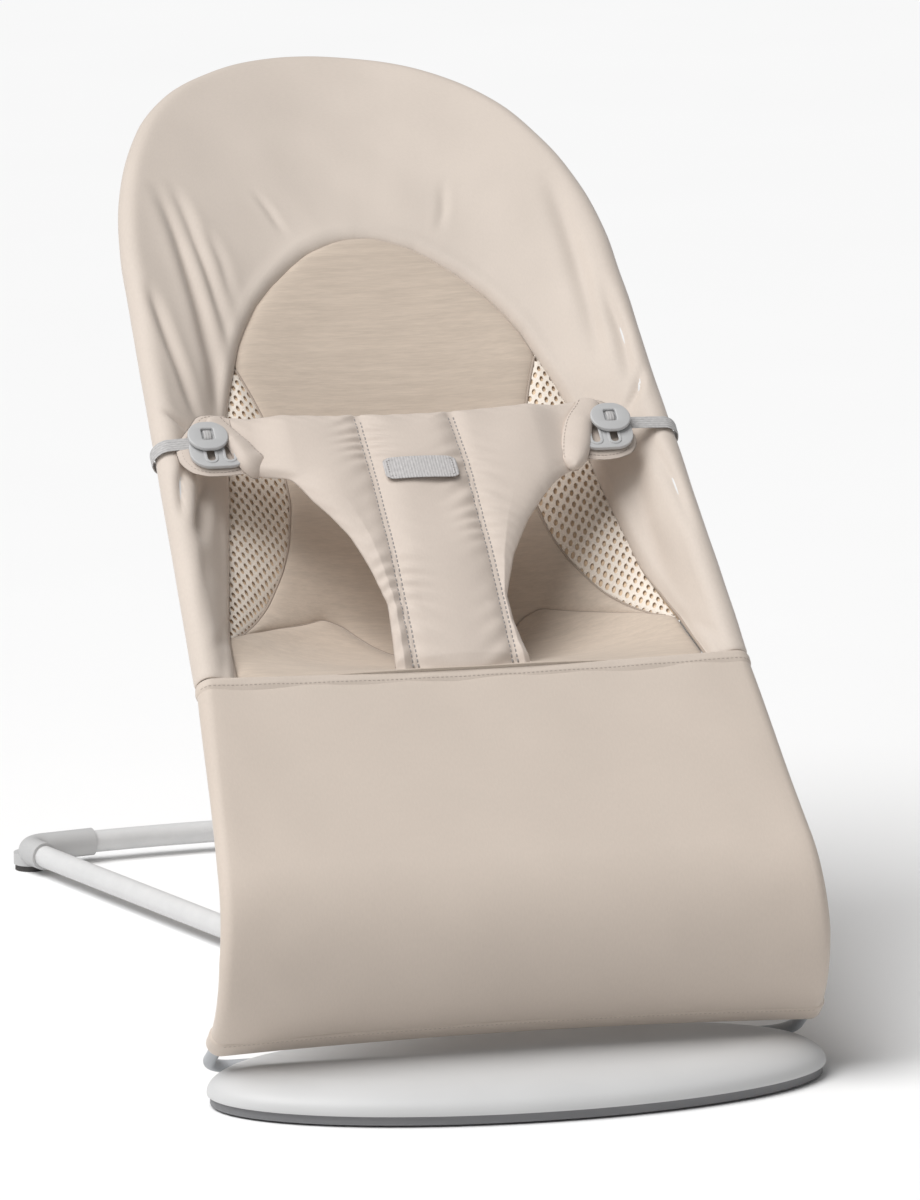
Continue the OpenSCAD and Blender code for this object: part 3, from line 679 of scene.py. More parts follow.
def make_rear_panel():
    """Cloth that closes the cover behind: its edges lie on the wrap, the seat bows it out."""
    hoop_s, hoop_x, hoop_n = hoop_on_seat()
    top = hoop_s.max() - 1.5
    s = np.r_[np.linspace(4, top - 50, 110), top - 50 * (1 - np.linspace(0, 1, 26)[1:]) ** 2]
    f = np.sin(np.linspace(-1, 1, 75) * math.pi / 2) * 0.35 + np.linspace(-1, 1, 75) * 0.65
    on_wrap = np.maximum(np.interp(s, hoop_s, hoop_x) - 2.0, 3)
    blend = eased((s - 62) / 14)
    side = 137 + (on_wrap - 137) * blend
    x = f[None] * side[:, None]
    ss = np.broadcast_to(s[:, None], x.shape)
    n = dip(0.97 * x, ss) + 11
    to_top = np.maximum(top - ss, 0)
    inside = np.minimum((1 - np.abs(f[None])) * side[:, None], 1.4 * to_top)
    rim = np.exp(-(inside / 15) ** 2)
    edge = np.interp(s, hoop_s, hoop_n)[:, None] + HOOP_R + COVER_GAP + 1.8
    n = n + (edge - n) * rim * blend[:, None]
    grid = seat(x, ss, n + 0.6 * soft_waves(x, ss, (60, 140), 9) * (1 - rim))
    obj = cloth("backrest_rear_cloth", grid, 1.8, COVER)
    stand_in(obj, "backrest_rear_panel")


# ---- padded insert
# the seam between the backrest jersey and the thigh piece (x, s)
LOWER_SEAM = [(0, 55), (30, 59), (44, 71), (58, 88), (70, 93), (84, 86), (104, 76), (126, 63),
              (146, 46)]
PAD_THICK = 8.0


def outline_x(s):
    return np.maximum(table(OUTLINE, s, 4), 0)


def puff(distance, height, reach):
    """A sewn edge: nothing at the seam, full height a little way in."""
    return height * (1 - np.exp(-np.maximum(distance, 0) / reach))


def thigh_edge(f, width):
    """Where the thigh seam crosses each column of a pad whose half width is width(s)."""
    s = np.full(np.shape(f), 60.0)
    for _ in range(30):
        s = 0.5 * s + 0.5 * table(LOWER_SEAM, np.abs(f) * width(s), 5)
    return s


def backrest_half(s):
    """Half width of the jersey above the thigh seam."""
    beside = table(JERSEY, np.clip(s, 0, 281), 6)
    above = outline_x(s) - 0.8
    share = share_of((np.asarray(s) - 272) / 14)
    return np.maximum(np.where(s < 272, beside, above - 5.5 * (1 - share) ** 2), 0.4)


def lower_half(s):
    """Half width of the jersey below the thigh seam."""
    return outline_x(s) - 0.8


def make_cushion(name, node, x, s, gap, raise_by, depth):
    """A jersey pad on the seat's surface; gap is the distance to its nearest edge."""
    front = seat(x, s, dip(x, s) + 1.6 - raise_by)
    back = seat(x, s, dip(x, s) + 2.4 + puff(gap, depth, 3.0))
    obj = closed(name, front[:, ::-1], back[:, ::-1], JERSEY_MAT, 0.2)
    stand_in(obj, node)


def make_pad():
    """Main jersey insert, with the mesh on both sides and the round top."""
    f = np.linspace(-1, 1, 91)[None]
    low = thigh_edge(f, backrest_half)
    v = np.r_[np.linspace(0, 0.86, 120), 1 - 0.14 * (1 - np.linspace(0, 1, 26)[1:]) ** 2][:, None]
    s = low + (388 - low) * v
    width = backrest_half(s)
    x = f * width
    gap = np.minimum.reduce([width - np.abs(x), 1.6 * (388 - s), 0.9 * (s - low)])
    raise_by = puff(gap, 3.0, 5.0) + 0.25 * soft_waves(x, s, (40, 90), 5)
    make_cushion("seat_pad_jersey", "seat_pad", x, s, gap, raise_by, PAD_THICK - 2.6)


def make_lower_pad():
    """Thigh piece between the seam and the front edge, crowned over the frame's front."""
    f = np.linspace(-1, 1, 121)[None]
    top = thigh_edge(f * 0.995, lower_half)
    s = -8 + (top + 8) * np.linspace(0, 1, 54)[:, None]
    x = f * lower_half(s)
    gap = np.minimum.reduce([(1 - np.abs(f)) * 148 + 0 * s, 0.9 * (top - s), 0.9 * (s + 22)])
    raise_by = puff(gap, 4.6, 7.0) + 0.3 * soft_waves(x, s, (35, 80), 6)
    make_cushion("seat_pad_lower_jersey", "seat_pad_lower", x, s, gap, raise_by,
                 PAD_THICK - 3.6)
    line = seat(x[-1], s[-1], dip(x[-1], s[-1]) + 1.9)
    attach(tube("thigh_seam", resample(line, 3.0), 0.7, PIPING), "seat_upper")


HOLE_PITCH = (6.4, 8.7)
HOLE_SIZE = (1.25, 2.45)


def make_gusset(side):
    """Spacer mesh with real oval holes over a darker lining."""
    name = "left" if side < 0 else "right"
    px, ps = HOLE_PITCH
    corners = 12
    q = 2 * math.pi * np.arange(corners) / corners
    hole = np.stack([HOLE_SIZE[0] * np.cos(q) + 0.25 * np.sin(q), HOLE_SIZE[1] * np.sin(q)], 1)
    # the cell is a diamond, so that the staggered cells meet
    r = 1 / (np.abs(np.cos(q)) / (px / 2) + np.abs(np.sin(q)) / (ps / 2))
    cell = np.concatenate([hole, np.stack([r * np.cos(q), r * np.sin(q)], 1)])
    cell_faces = np.array(ring_faces(2, corners))
    points, faces = [], []
    for row in range(int(250 / (ps / 2))):
        for col in range(14):
            faces += (cell_faces + len(points) * 2 * corners).tolist()
            points.append(cell + [74 + (col + 0.5 * (row % 2)) * px, 42 + row * ps / 2])
    points = np.concatenate(points)
    s = np.clip(points[:, 1], 47, 281)
    lo = table(JERSEY, s, 6)
    hi = np.maximum(outline_x(s) - 0.6, lo + 0.2)
    x = np.clip(points[:, 0], lo, hi)
    keep = []
    for f in faces:
        a = np.stack([x[f], s[f]], 1)
        area = 0.5 * abs(np.dot(a[:, 0], np.roll(a[:, 1], 1)) - np.dot(a[:, 1], np.roll(a[:, 0], 1)))
        if area > 0.05:
            keep.append(f)
    edge = np.minimum(x - lo, hi - x)
    bulge = puff(edge, 3.4, 7.0)
    depth = dip(x, s) + 1.9 - bulge
    front = seat(side * x, s, depth)
    back = seat(side * x, s, depth + 0.8)
    count = len(front)
    obj = new_mesh(f"mesh_gusset_{name}_knit", np.concatenate([front, back]),
                   keep + [[i + count for i in f[::-1]] for f in keep], MESH_MAT)
    close_rims(obj)
    stand_in(obj, f"mesh_gusset_{name}")
    s = np.linspace(45, 281, 70)
    f = np.linspace(0, 1, 13)
    lo = table(JERSEY, s, 6) - 3
    hi = np.maximum(outline_x(s) + 1, lo + 3)
    x = lo[:, None] + (hi - lo)[:, None] * f[None]
    ss = np.broadcast_to(s[:, None], x.shape)
    inside = np.minimum(x - lo[:, None], hi[:, None] - x) - 2
    lining = cloth(f"mesh_lining_{name}", seat(side * x, ss, dip(x, ss) + 3.9
                                               - puff(inside, 3.2, 7.0)), 1.0, MESH_BACK)
    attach(lining, "seat_upper")
    s = np.linspace(47, 279, 100)
    x = table(JERSEY, s, 6)
    line = seat(side * x, s, dip(x, s) + 1.7)
    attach(tube(f"mesh_seam_{name}", resample(line, 3.0), 0.9, PIPING), "seat_upper")


def close_rims(obj):
    """Joins the front and back layers of a holed sheet along every open edge."""
    work = bmesh.new()
    work.from_mesh(obj.data)
    half = len(work.verts) // 2
    work.verts.ensure_lookup_table()
    walls = []
    for edge in work.edges:
        if len(edge.link_faces) == 1 and edge.verts[0].index < half:
            loop = edge.link_loops[0]
            a, b = loop.vert.index, loop.link_loop_next.vert.index
            walls.append((b, a, a + half, b + half))
    for wall in walls:
        face = work.faces.new([work.verts[i] for i in wall])
        face.smooth = True
    bmesh.ops.delete(work, geom=[v for v in work.verts if not v.link_faces], context="VERTS")
    bmesh.ops.remove_doubles(work, verts=work.verts, dist=0.00004)
    bmesh.ops.dissolve_degenerate(work, dist=0.00002, edges=work.edges)
    work.to_mesh(obj.data)
    work.free()
    sharpen(obj, 50)


# ---- harness
HARN_X = -6.2
HARN_LEFT = [(-14, -48.8), (20, -46.6), (45, -45.6), (70, -51.9), (98, -61), (116, -70.5),
             (129, -79.1), (141, -85), (150, -90), (155, -99), (160, -110), (164, -119),
             (172, -123), (186, -125), (214, -125)]
HARN_RIGHT = [(-14, 40.6), (28, 31), (48, 29.9), (77, 39.4), (105, 54), (125, 68.5), (139, 80),
              (150, 91.7), (155, 99), (160, 106), (166, 110), (186, 112), (214, 112)]
HARN_TOP = 212
HARN_OUT = [(0, -1), (30, -6), (80, -13), (140, -15), (190, -13), (220, -12)]
CHANNELS = [[(-6, -35.7), (81, -37), (141, -38), (212, -38.6)],
            [(-6, 28), (47, 26.2), (102, 24.3), (158, 24), (212, 21.7)]]


def harness_n(x, s):
    """Middle of the harness: it stands out in front of the seat, bowed between its ends."""
    off = np.abs(x - HARN_X)
    bow = 4 * (1 - np.minimum(1, off / 118) ** 2) * share_of(s / 90)
    return table(HARN_OUT, s, 8) - bow + 5 * eased((off - 78) / 24)


def harness_edges(s):
    return table(HARN_LEFT, s, 4), table(HARN_RIGHT, s, 4)


def top_dip(x, s):
    """The top edge is cut lower in the middle than at the wings."""
    off = np.minimum(1, np.abs(x - HARN_X) / 118)
    return 12.5 * share_of((s - 150) / 62) * (1 - off ** 2)


def seam_x(channel, s):
    return table(CHANNELS[channel], s, 10)


def harness_surface(x, s, face):
    """A point on the harness's front (face 1) or back (face -1), puffed between its seams."""
    left, right = harness_edges(s)
    c1, c2 = seam_x(0, s), seam_x(1, s)
    seams = np.minimum(np.abs(x - c1), np.abs(x - c2))
    edge = np.minimum.reduce([x - left, right - x, HARN_TOP + 1.2 - s, s + 60])
    body = np.minimum(puff(seams - 1.6, 5.0, 7.0), puff(edge, 5.0, 6.0))
    # puckers run out of each seam and die away across the panel
    side = np.where(x > (c1 + c2) / 2, 1.1, 3.0)
    gather = s + 0.5 * seams + 4.4 * np.sin(s / 19 + side) + 2.2 * np.sin(s / 9.3 + 2 * side)
    pucker = np.sin(gather / 13 * 2 * math.pi + side)
    uneven = 0.7 + 0.5 * np.sin(s / 23 + 2 * side)
    reach = np.exp(-((seams - 5) / 12) ** 2) * (1 - np.exp(-seams / 2.5))
    body = body + 0.72 * pucker * uneven * reach
    edge_pucker = np.sin((s + 0.6 * x) / 10 * 2 * math.pi + x / 17)
    body = body + 0.4 * edge_pucker * np.exp(-edge / 7) * (1 - np.exp(-edge / 2))
    body = body + 0.7 * soft_waves(x, s, (34, 80), 8) * share_of(seams / 12) * share_of(edge / 8)
    if face < 0:
        body = 0.5 * body
    return seat(x, s - top_dip(x, s), harness_n(x, s) - face * (0.6 + body))


def make_harness():
    s = np.linspace(-13, HARN_TOP, 236)
    left, right = harness_edges(s)
    f = np.linspace(0, 1, 221)
    x = left[:, None] + (right - left)[:, None] * f[None]
    ss = np.broadcast_to(s[:, None], x.shape)
    low = share_of((4 - ss) / 14)
    front = harness_surface(x, ss, 1) + REAR * (3.0 * low)[..., None]
    back = harness_surface(x, ss, -1) - REAR * (0.8 * low)[..., None]
    obj = closed("harness_padded", front[:, ::-1], back[:, ::-1], HARNESS, 0.9)
    stand_in(obj, "harness_front")
    for channel in (0, 1):
        for row in (-1.7, 1.7):
            s = np.linspace(-8, HARN_TOP - 1.5, 154)
            line = harness_surface(seam_x(channel, s) + row, s, 1)
            seam = stitches(f"harness_stitch_{channel}_{'a' if row < 0 else 'b'}", line, -REAR,
                            3.5, 2.8, 0.5, THREAD, 0.2)
            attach(seam, "seat_upper")
    make_label()


LABEL_HALF = (23.4, 9.2)


def make_label():
    """Small woven tag, left blank, with its raised edge and stitched border."""
    half_length, half_height = LABEL_HALF
    uu, vv = np.meshgrid(np.linspace(-half_length, half_length, 40),
                         np.linspace(-half_height, half_height, 18), indexing="xy")
    # rounded corners: pull the outer points in along a soft square
    su, sv = uu / half_length, vv / half_height
    corner = share_of(np.abs(su) ** 10 * np.abs(sv) ** 6)
    uu, vv = uu - 1.5 * np.sign(uu) * corner, vv - 1.5 * np.sign(vv) * corner
    x = -8 + uu
    s = 145.6 + vv - 0.018 * uu
    off = 7.6 - 1.0 * (uu / half_length) ** 2
    to_edge = np.maximum(np.abs(su), 1 - half_height * (1 - np.abs(sv)) / half_length)
    rim = share_of((to_edge - 0.93) / 0.05)
    grid = seat(x, s, harness_n(x, s + 6) - off - 0.35 * rim)
    obj = cloth("harness_label_tag", grid[:, ::-1], 1.0, LABEL)
    stand_in(obj, "harness_label")
    corners = [(2, 2), (2, 37), (15, 37), (15, 2), (2, 2)]
    ring = np.array([grid[a, b] for a, b in corners]) - REAR * 0.6
    dense = np.concatenate([np.linspace(a, b, 12)[:-1] for a, b in zip(ring, ring[1:])])
    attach(stitches("label_stitch", dense, -REAR, 2.2, 1.6, 0.34, THREAD, 0.15), "seat_upper")


# each wing's end, measured outward and up from its toggle: a flat stitched tab under the
# plate, and the wing folded back over the plate's inner end
TOGGLE_S = 187.5
TOGGLE_X = {-1: -137.3, 1: 124.9}
TAB = {-1: [(-14, 23), (-5, 25), (2.5, 24), (8, 15), (16, 5), (20.3, -4), (20, -14), (14.5, -23),
            (5, -27.3), (-6, -28), (-17, -27), (-25, -26)],
       1: [(-18, 21), (-8, 22.5), (0.5, 21), (6, 12), (11, 1), (14.8, -9), (15.2, -16.5),
           (10.5, -25), (1, -28.8), (-9, -29.6), (-18, -28.4), (-27, -27)]}
FOLD = {-1: [(-6.0, 20, 5.5), (-9.5, 11, 6.4), (-18.2, -3.4, 6.2), (-23.5, -17, 8.6),
             (-30, -28, 9.6)],
        1: [(-9.0, 21, 6.5), (-12, 12, 8.0), (-20.2, 0, 8.6), (-25, -16.2, 9.6),
            (-29.5, -31, 8.0), (-31.5, -40, 4.5)]}


def wing_frame(side):
    """Matrix of the wing's end: x outward, y up the backrest, z to the front, in metres."""
    m = Matrix((Vector((side, 0, 0)), Vector(UP), -Vector(REAR))).transposed().to_4x4()
    m.translation = Vector(seat(TOGGLE_X[side], TOGGLE_S, 0.0) * MM)
    return m


def on_wing(side, points):
    """Wing coordinates (outward, up, front) to the seat's frame."""
    points = np.asarray(points, float)
    origin = seat(TOGGLE_X[side], TOGGLE_S, 0.0)
    return (origin + points[..., :1] * np.array([side, 0, 0]) + points[..., 1:2] * UP
            - points[..., 2:3] * REAR)


def padded_piece(name, side, front, back, rim):
    """A padded piece between two grids in wing coordinates."""
    grids = [on_wing(side, grid) for grid in (front, back)]
    if side > 0:
        grids = [grid[:, ::-1] for grid in grids]
    obj = closed(name, *grids, HARNESS, rim)
    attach(obj, "seat_upper")


def smooth_rows(rows, column, t):
    """One column of a list of rows at place t along the list, rounded between the rows."""
    return table(list(enumerate(row[column] for row in rows)), t, 0.6)


def make_wing_end(side):
    name = "left" if side < 0 else "right"
    t = np.linspace(0, len(TAB[side]) - 1, 49)
    outer = np.stack([smooth_rows(TAB[side], k, t) for k in (0, 1)], 1)
    base = np.stack([np.full(49, -18.0), np.linspace(20, -25, 49)], 1)
    r = np.linspace(0, 1, 19)
    flat = base[None] * (1 - r[:, None, None]) + outer[None] * r[:, None, None]
    reach = np.linalg.norm(outer - base, axis=1)
    gap = (1 - r)[:, None] * reach[None]
    front = 11.3 + puff(gap, 1.3, 1.6) - 0.5 * np.exp(-((gap - 3.2) / 0.9) ** 2)
    back = 11.3 - puff(gap, 1.0, 1.6)
    padded_piece(f"harness_tab_{name}", side, np.dstack([flat, front])[:, ::-1],
                 np.dstack([flat, back])[:, ::-1], 0.5)
    ring = outer + (base - outer) * (3.2 / reach)[:, None]
    line = on_wing(side, np.column_stack([ring, np.full(49, 12.3)]))
    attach(stitches(f"tab_stitch_{name}", line, -REAR, 2.5, 1.8, 0.22, FINE_THREAD), "seat_upper")
    # the fold: highest by the plate, sloping down to a stitched crease on the harness
    rows = FOLD[side]
    t = np.linspace(0, len(rows) - 1, 60)
    px, py, half = (smooth_rows(rows, k, t) for k in (0, 1, 2))
    ends = share_of(np.minimum(t / 0.5, (len(rows) - 1 - t) / 0.9))
    ends = np.sqrt(1 - (1 - ends) ** 2)
    across = unit(np.stack([np.gradient(py), -np.gradient(px)], 1))
    if across[30, 0] < 0:
        across = -across
    v = np.linspace(-1, 1, 33)
    half = (half * (0.25 + 0.75 * ends))[:, None, None]
    place = np.stack([px, py], 1)[:, None] + half * v[None, :, None] * across[:, None]
    # v = 1 is the outer edge by the disc, v = -1 the crease
    crown = np.where(v > 0.25, np.sqrt(np.maximum(0, 1 - ((v - 0.25) / 0.76) ** 2)),
                     1 - 0.62 * (np.maximum(0, 0.25 - v) / 1.25) ** 1.7)
    wrinkle = (0.3 * share_of(t - 1.2) * np.sin(t * 6.1))[:, None] * np.maximum(0, 0.3 - v)
    sink = 5.0 * share_of((t - len(rows) + 2.1) / 1.1) ** 2 * (side < 0)
    # beside the disc the fold stays low enough to pass behind it
    rise = 2.3 + 3.3 * share_of((t - 0.7) / 1.2) ** 2
    over = (14.2 + rise[:, None] * crown[None] * (0.35 + 0.65 * ends[:, None]) + wrinkle
            - sink[:, None])
    under = np.where(v > 0.9, 14.2, 13.0)[None] - sink[:, None]
    padded_piece(f"harness_fold_{name}", side, np.dstack([place, over]),
                 np.dstack([place, np.minimum(under, over - 0.4)]), 0.4)
    edge = on_wing(side, np.dstack([place[4:-6, 2:3], over[4:-6, 2:3] + 0.25]))[:, 0]
    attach(stitches(f"fold_stitch_{name}", edge, -REAR, 3.0, 2.2, 0.3, FINE_THREAD), "seat_upper")


# ---- toggles, plates and straps
def moulding(name, outline, holes, low, high, bevel, side):
    """A moulded piece with rounded edges, from its outline and holes, at the wing's end."""
    curve = bpy.data.curves.new(name, "CURVE")
    curve.dimensions = "2D"
    curve.fill_mode = "BOTH"
    curve.extrude = ((high - low) / 2 - bevel) * MM
    curve.bevel_depth = bevel * MM
    curve.bevel_resolution = 3
    curve.offset = -bevel * MM
    for ring in [outline] + holes:
        spline = curve.splines.new("POLY")
        spline.points.add(len(ring) - 1)
        spline.use_cyclic_u = True
        for point, (x, y) in zip(spline.points, ring):
            point.co = (x * MM, y * MM, 0, 1)
    holder = add_object(name, curve)
    bpy.context.view_layer.update()
    mesh = bpy.data.meshes.new_from_object(
        holder.evaluated_get(bpy.context.evaluated_depsgraph_get()))
    bpy.data.objects.remove(holder)
    mesh.transform(wing_frame(side) @ Matrix.Translation((0, 0, (low + high) / 2 * MM)))
    mesh.materials.clear()
    mesh.materials.append(BUTTON_GREY)
    obj = add_object(name, mesh)
    weld(obj)
    sharpen(obj, 40)
    return obj


def slot_ring(x, length, width):
    return rounded_rectangle(width, length, width / 2 - 0.05, (x, -8.5), 7)


def make_fastening(side):
    name = "left" if side < 0 else "right"
    slots = (0, -12)
    plate = moulding(f"slotted_plate_{name}_moulded",
                     rounded_rectangle(37, 29, 12.5, (-5.5, -9.5), 14),
                     [slot_ring(x, 21.5, 6.4) for x in slots], 13.7, 16.3, 0.6, side)
    stand_in(plate, f"slotted_plate_{name}")
    for x, letter in zip(slots, "ab"):
        rim = moulding(f"slot_rim_{name}_{letter}", slot_ring(x, 25, 8.8),
                       [slot_ring(x, 21.2, 5.0)], 15.9, 16.8, 0.4, side)
        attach(rim, "seat_upper")
    disc = moulding(f"toggle_{name}_disc", rounded_rectangle(26, 23.4, 11.6, (0, 0), 18),
                    [rounded_rectangle(7.6, 9.4, 1.2, (0, 1.0), 6)], 17.2, 20.0, 0.9, side)
    stand_in(disc, f"toggle_{name}", f"toggle_{name}")
    floor = moulding(f"toggle_{name}_floor", rounded_rectangle(10.4, 12.4, 1.4, (0, 1.0), 6), [],
                     17.2, 18.0, 0.3, side)
    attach(floor, f"toggle_{name}")
    stem = moulding(f"toggle_{name}_stem", rounded_rectangle(5, 5, 2.4), [], 12.9, 17.6, 0.4, side)
    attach(stem, f"toggle_{name}")
    # the elastic loop that shows in the disc's window
    q = np.linspace(-1, 1, 17)
    u = np.stack([np.full(17, 0.2), 1.2 + 4.0 * q, 19.5 - 1.3 * q ** 2], 1)
    strip = np.stack([u + [dx, 0, 0] for dx in (-2.2, -0.8, 0.8, 2.2)], 1)
    loop = cloth(f"toggle_{name}_loop", on_wing(side, strip), 0.9, WEBBING)
    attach(loop, f"toggle_{name}")
    make_strap(side, name)


STRAP_WIDTH = 9.2


def make_strap(side, name):
    """Woven elastic from under the toggle, round the frame's side and behind it."""
    w = float(half_width(TOGGLE_S)) - abs(TOGGLE_X[side])
    r = HOOP_R + 5.0
    q = np.linspace(math.radians(14), math.radians(205), 40)
    arc = np.stack([w + r * np.sin(q), r * np.cos(q)], 1)
    lead = np.linspace([2.0, 13.0], arc[0], 14, endpoint=False)
    line = np.concatenate([lead, arc])
    across = np.linspace(-STRAP_WIDTH / 2, STRAP_WIDTH / 2, 9)
    columns = [np.column_stack([line[:, 0], np.full(len(line), v), line[:, 1]]) for v in across]
    grid = on_wing(side, np.stack(columns, 1))
    obj = cloth(f"strap_{name}_elastic", grid if side < 0 else grid[:, ::-1], 1.1, WEBBING)
    stand_in(obj, f"strap_{name}")


# ---- leg panel
KNEE_BEND = KNEE + [KNEE_HALF, 0, 0] - 8 * HOOP_DIR
FORWARD = np.array([0.0, -1.0, 0.0])


def leg_line(k):
    """Height line of the leg panel: a quarter turn at the hem, a bow, then up to the knee."""
    k = np.asarray(k, float)
    q = np.radians(k)
    turn = np.stack([-np.cos(q), np.sin(q)], -1)
    low = np.array([-261.5, 96.5]) + 70 * turn
    bow = np.array([-266.5, 96.5]) + 65 * turn
    start = np.array([-307.4, 147.0])
    high = start + (KNEE_BEND[1:] - start) * ((k - 51) / 49)[..., None]
    line = np.where((k < 0)[..., None], low, np.where((k <= 51)[..., None], bow, high))
    bend = math.radians(51)
    front = np.where((k <= 51)[..., None], turn, [-math.cos(bend), math.sin(bend)])
    return line, front


def leg_width(k):
    k = np.asarray(k, float)
    low = WIRE_HALF - 2.4 + 1.6 * share_of(-k / 54)
    mid = WIRE_HALF - 2.4 - 4.6 * k / 51
    high = WIRE_HALF - 7 + (KNEE_BEND[0] - WIRE_HALF + 7) * (k - 51) / 49
    return np.where(k < 0, low, np.where(k <= 51, mid, high))


def leg_grid(rows, off=0.0, sag=4.0, around=14, across=61):
    """Front sheet between the two wires, with a sleeve round each."""
    line, front = leg_line(rows)
    if len(rows) > 30:
        line = np.stack([np.convolve(np.pad(line[:, i], 2, "edge"), np.ones(5) / 5, "valid")
                         for i in (0, 1)], 1)
    width = leg_width(rows)
    r = (WIRE_R + 2.3 + off + 1.5 * eased((rows - 62) / 36))[:, None]
    turn = 205 - 60 * share_of((rows - 72) / 6)
    half = []
    for share in np.linspace(0, 1, across // 2 + 1):
        depth = r - sag * (1 - share ** 2)
        half.append(np.column_stack([width * share, line + depth * front]))
    for step in np.linspace(0, 1, around)[1:]:
        q = np.radians(turn * step)[:, None]
        half.append(np.column_stack([width + (r * np.sin(q))[:, 0], line + r * np.cos(q) * front]))
    half = np.stack(half, 1)
    return np.concatenate([mirrored(half[:, :0:-1]), half], 1)


def bend_at_knee(obj):
    """Bakes the piece's placement into its points."""
    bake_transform(obj)


def make_leg_panel():
    rows = np.linspace(-46.5, 98.9, 170)
    grid = leg_grid(rows)
    x = grid[..., 0]
    height = np.broadcast_to(rows[:, None], x.shape)
    wave = 0.5 * soft_waves(x, height * 1.3, (90, 200), 21)
    # faint drag lines below the knee seam and by the sleeves
    drag = 0.35 * np.sin(x / 9.5 + 0.6 * np.sin(x / 31)) * np.exp(-(98.5 - height) / 4.5)
    side = np.exp(-((np.abs(x) - 160) / 16) ** 2) * 0.5 * np.sin(height / 7 + x / 40)
    cover = share_of((WIRE_HALF - 6 - np.abs(x)) / 12)
    nor = facing(grid, FORWARD, 60, grid.shape[1] // 2)
    grid = grid + nor * ((wave + drag + side) * cover)[..., None]
    obj = cloth("leg_panel_cloth", grid, 2.2, PANEL)
    stand_in(obj, "leg_panel", None)
    bend_at_knee(obj)


def make_hem():
    rows = np.linspace(-56, -45.4, 14)
    grid = leg_grid(rows, off=0.5)
    obj = cloth("leg_hem_cloth", grid, 3.4, PANEL)
    stand_in(obj, "leg_hem", "seat_lower")
    line = leg_grid(np.array([-46.2, -45.8]), off=1.9)[0]
    line = line[np.abs(line[:, 0]) < WIRE_HALF + 2]
    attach(stitches("hem_stitch", line, np.array([0, -0.7, -0.6]), 3.0, 2.1, 0.26, FINE_THREAD,
                     0.25), "seat_lower")


def make_seam_band():
    """The turned-over top edge of the leg panel, sewn to the seat along one line."""
    rows = np.linspace(96.9, 100.4, 22)
    grid = leg_grid(rows, off=0.7)
    x = grid[..., 0]
    height = np.broadcast_to(rows[:, None], x.shape)
    pucker = 0.3 * np.sin(x / 7.4 + 0.9 * np.sin(x / 23)) * np.exp(-((height - 98.6) / 0.7) ** 2)
    crown = (-1.7 * share_of((98.1 - height) / 1.2) + 0.5 * share_of((height - 98.1) / 0.5)
             - 1.6 * share_of((height - 99.7) / 0.7) ** 2)
    nor = facing(grid, FORWARD, 8, grid.shape[1] // 2)
    grid = grid + nor * (pucker + crown)[..., None]
    obj = cloth("seam_band_cloth", grid, 1.8, PANEL)
    stand_in(obj, "seam_band", None)
    bend_at_knee(obj)
    line = grid[8] + nor[8]
    line = line[np.abs(line[:, 0]) < 176]
    made = stitches("knee_seam_stitch", line, np.array([0, -0.78, 0.63]), 2.9, 2.0, 0.26,
                    FINE_THREAD, 0.1)
    bend_at_knee(made)


# ---- base
PLATE_HALF = (195.0, 88.0)
PLATE_Y = -307.0
PLATE_EDGE = [(0.2, 7.2), (0, 8.2), (0.1, 9.5), (0.5, 11.2), (1.4, 13), (2.6, 14.6), (4.2, 16),
              (6.3, 17.5), (8.6, 18.8), (11.2, 20.1), (14, 21.2), (17.4, 22.2), (21, 23),
              (25, 23.7), (29, 24.2), (33, 24.45), (40, 24.5)]


def make_plate():
    """Moulded oval cover: a bevelled edge running into a flat top, hollow below."""
    q = np.linspace(0, 2 * math.pi, 181)[:-1]

    def ring(inset, z):
        return np.stack([(PLATE_HALF[0] - inset) * np.cos(q),
                         PLATE_Y + (PLATE_HALF[1] - inset) * np.sin(q), np.full(len(q), z)], 1)

    outside = [ring(i, z) for i, z in PLATE_EDGE]
    outside += [ring(i, 24.5) for i in (48, 58, 68, 78, 86.5)]
    inside = [ring(i, 21.7) for i in (86, 70, 52, 36)]
    inside += [ring(i + 2.8, z - 2.6) for i, z in PLATE_EDGE[::-1] if z > 11]
    inside += [ring(2.4, 7.2)]
    rings = np.array(outside + inside)
    n, m = rings.shape[:2]
    # the last ring joins the first; the middle of the top and of the ceiling are one face each
    faces = [[p % (n * m) for p in face] for face in ring_faces(n + 1, m)
             if face[0] // m != len(outside) - 1]
    faces.append([(len(outside) - 1) * m + j for j in range(m)])
    faces.append([len(outside) * m + j for j in range(m - 1, -1, -1)])
    obj = new_mesh("base_plate_moulded", rings.reshape(-1, 3), faces, PLATE_GREY)
    weld(obj)
    sharpen(obj, 50)
    stand_in(obj, "base_plate_cover", "base")


CAD_FINISH = [
    # the tray under the plate and the pivot clamps take the darker grey that paints in the shade
    # under the plate
    (TRAY_SHADE_GREY, "base_plate_tray pivot_clamp_left pivot_clamp_right"),
    (RUBBER, "plate_antislip_pads foot_sole_left foot_sole_right"),
    (ZINC, "plate_screws bracket_screws rack_screws"),
    (TUBE_PAINT, "base_tube_left base_tube_right base_rear_tube upper_frame_hoop"),
    (ELBOW_GREY, "foot_elbow_left foot_elbow_right bow_bracket_left bow_bracket_right"),
    (ELBOW_GREY, "notch_rack_left notch_rack_right hoop_collars"),
    (WIRE_PAINT, "support_bow lower_spring_frame"),
]


def paint_cad():
    for material, names in CAD_FINISH:
        for name in names.split():
            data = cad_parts[name].data
            data.materials.clear()
            data.materials.append(material)


# ---- stage
CAMERA_TARGET = Vector((0, -0.159, 0.27805))
CAMERA_DISTANCE = 5.6015
CAMERA_LENS = 268.8
CAMERA_TURN = math.radians(-13.319)
CAMERA_RISE = math.radians(11.258)
CAMERA_ROLL = math.radians(-0.342)


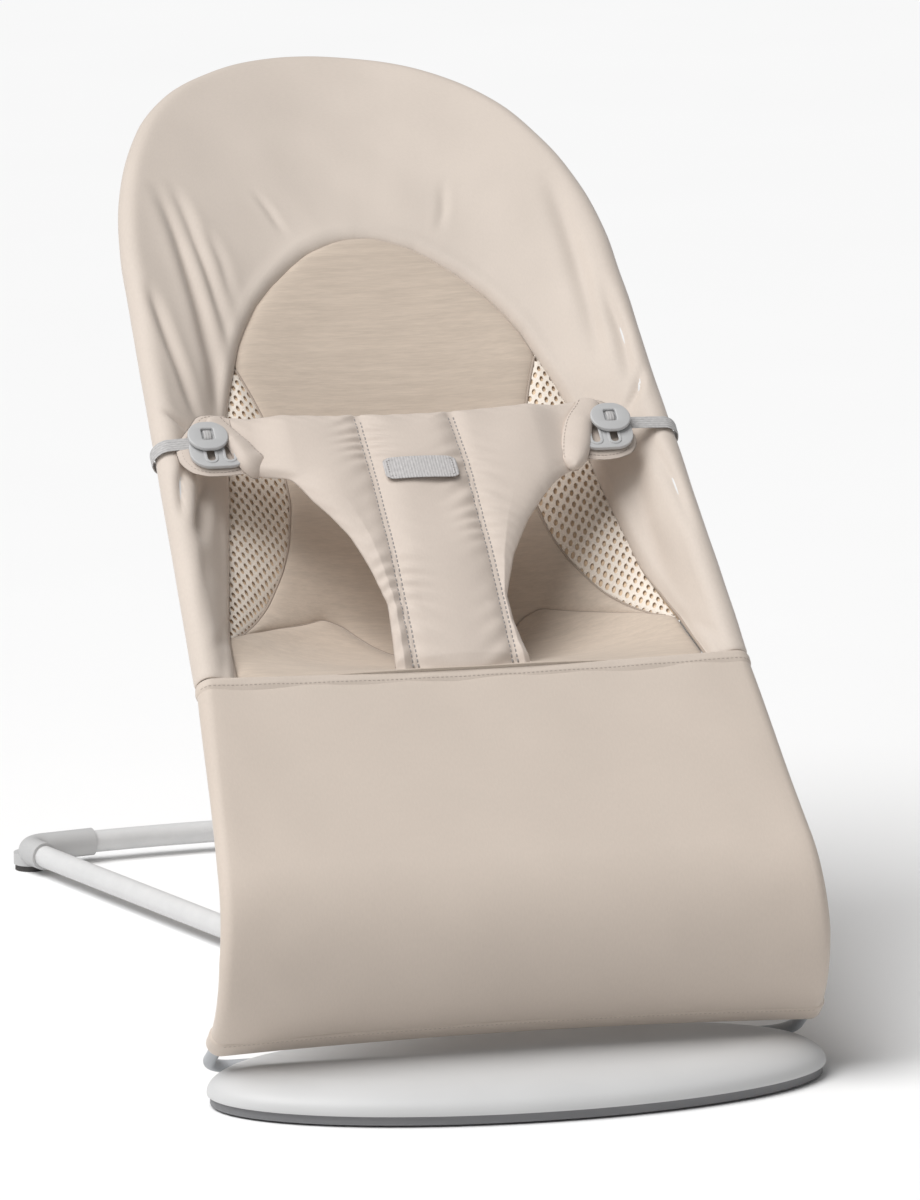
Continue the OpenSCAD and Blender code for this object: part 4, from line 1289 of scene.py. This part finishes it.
def make_camera():
    a, e, r = CAMERA_TURN, CAMERA_RISE, CAMERA_ROLL
    back = Vector((math.sin(a) * math.cos(e), -math.cos(a) * math.cos(e), math.sin(e)))
    right = Vector((math.cos(a), math.sin(a), 0))
    up = back.cross(right)
    side = math.cos(r) * right + math.sin(r) * up
    top = math.cos(r) * up - math.sin(r) * right
    data = bpy.data.cameras.new("camera")
    data.lens = CAMERA_LENS
    data.sensor_width = 36
    data.clip_end = 60
    matrix = Matrix((side, top, back)).transposed().to_4x4()
    matrix.translation = CAMERA_TARGET + back * CAMERA_DISTANCE
    camera = add_object("camera", data)
    camera.matrix_world = matrix
    bpy.context.scene.camera = camera


def make_light(name, kind, place, target, power, **shape):
    """A soft lamp at a place, turned to its target."""
    data = bpy.data.lights.new(name, kind)
    data.energy = power
    for key, value in shape.items():
        setattr(data, key, value)
    light = add_object(name, data)
    light.location = place
    light.rotation_euler = (Vector(place) - Vector(target)).to_track_quat("Z", "Y").to_euler()


def make_stage():
    paint = Paint("floor_paper", (0.93, 0.93, 0.93, 1), 0.95, specular=0.0)
    paint.vary(paint.noise(3, 2, use="Object"), 0.3, 0.7, 0.004)
    size = 9000
    points = [(-size, -size, 0), (size, -size, 0), (size, size, 0), (-size, size, 0)]
    new_mesh("floor", points, [[0, 1, 2, 3]], paint.material)
    make_light("key", "SUN", (-1.41, -0.3, 2.64), (0, 0, 0), 2.75, angle=math.radians(44))
    make_light("side", "AREA", (-1.35, -0.95, 1.3), (0, -0.15, 0.3), 5, size=0.7)
    world = bpy.data.worlds.new("studio")
    world.use_nodes = True
    background = world.node_tree.nodes["Background"]
    background.inputs["Color"].default_value = (1, 1, 1, 1)
    background.inputs["Strength"].default_value = 0.24
    bpy.context.scene.world = world
    bpy.context.scene.view_settings.view_transform = "Standard"


# ---- build
paint_cad()
make_camera()
make_stage()
make_plate()
make_leg_panel()
make_hem()
make_seam_band()
make_cover()
make_rear_panel()
make_pad()
make_lower_pad()
make_gusset(-1)
make_gusset(1)
make_harness()
for wing in (-1, 1):
    make_wing_end(wing)
    make_fastening(wing)
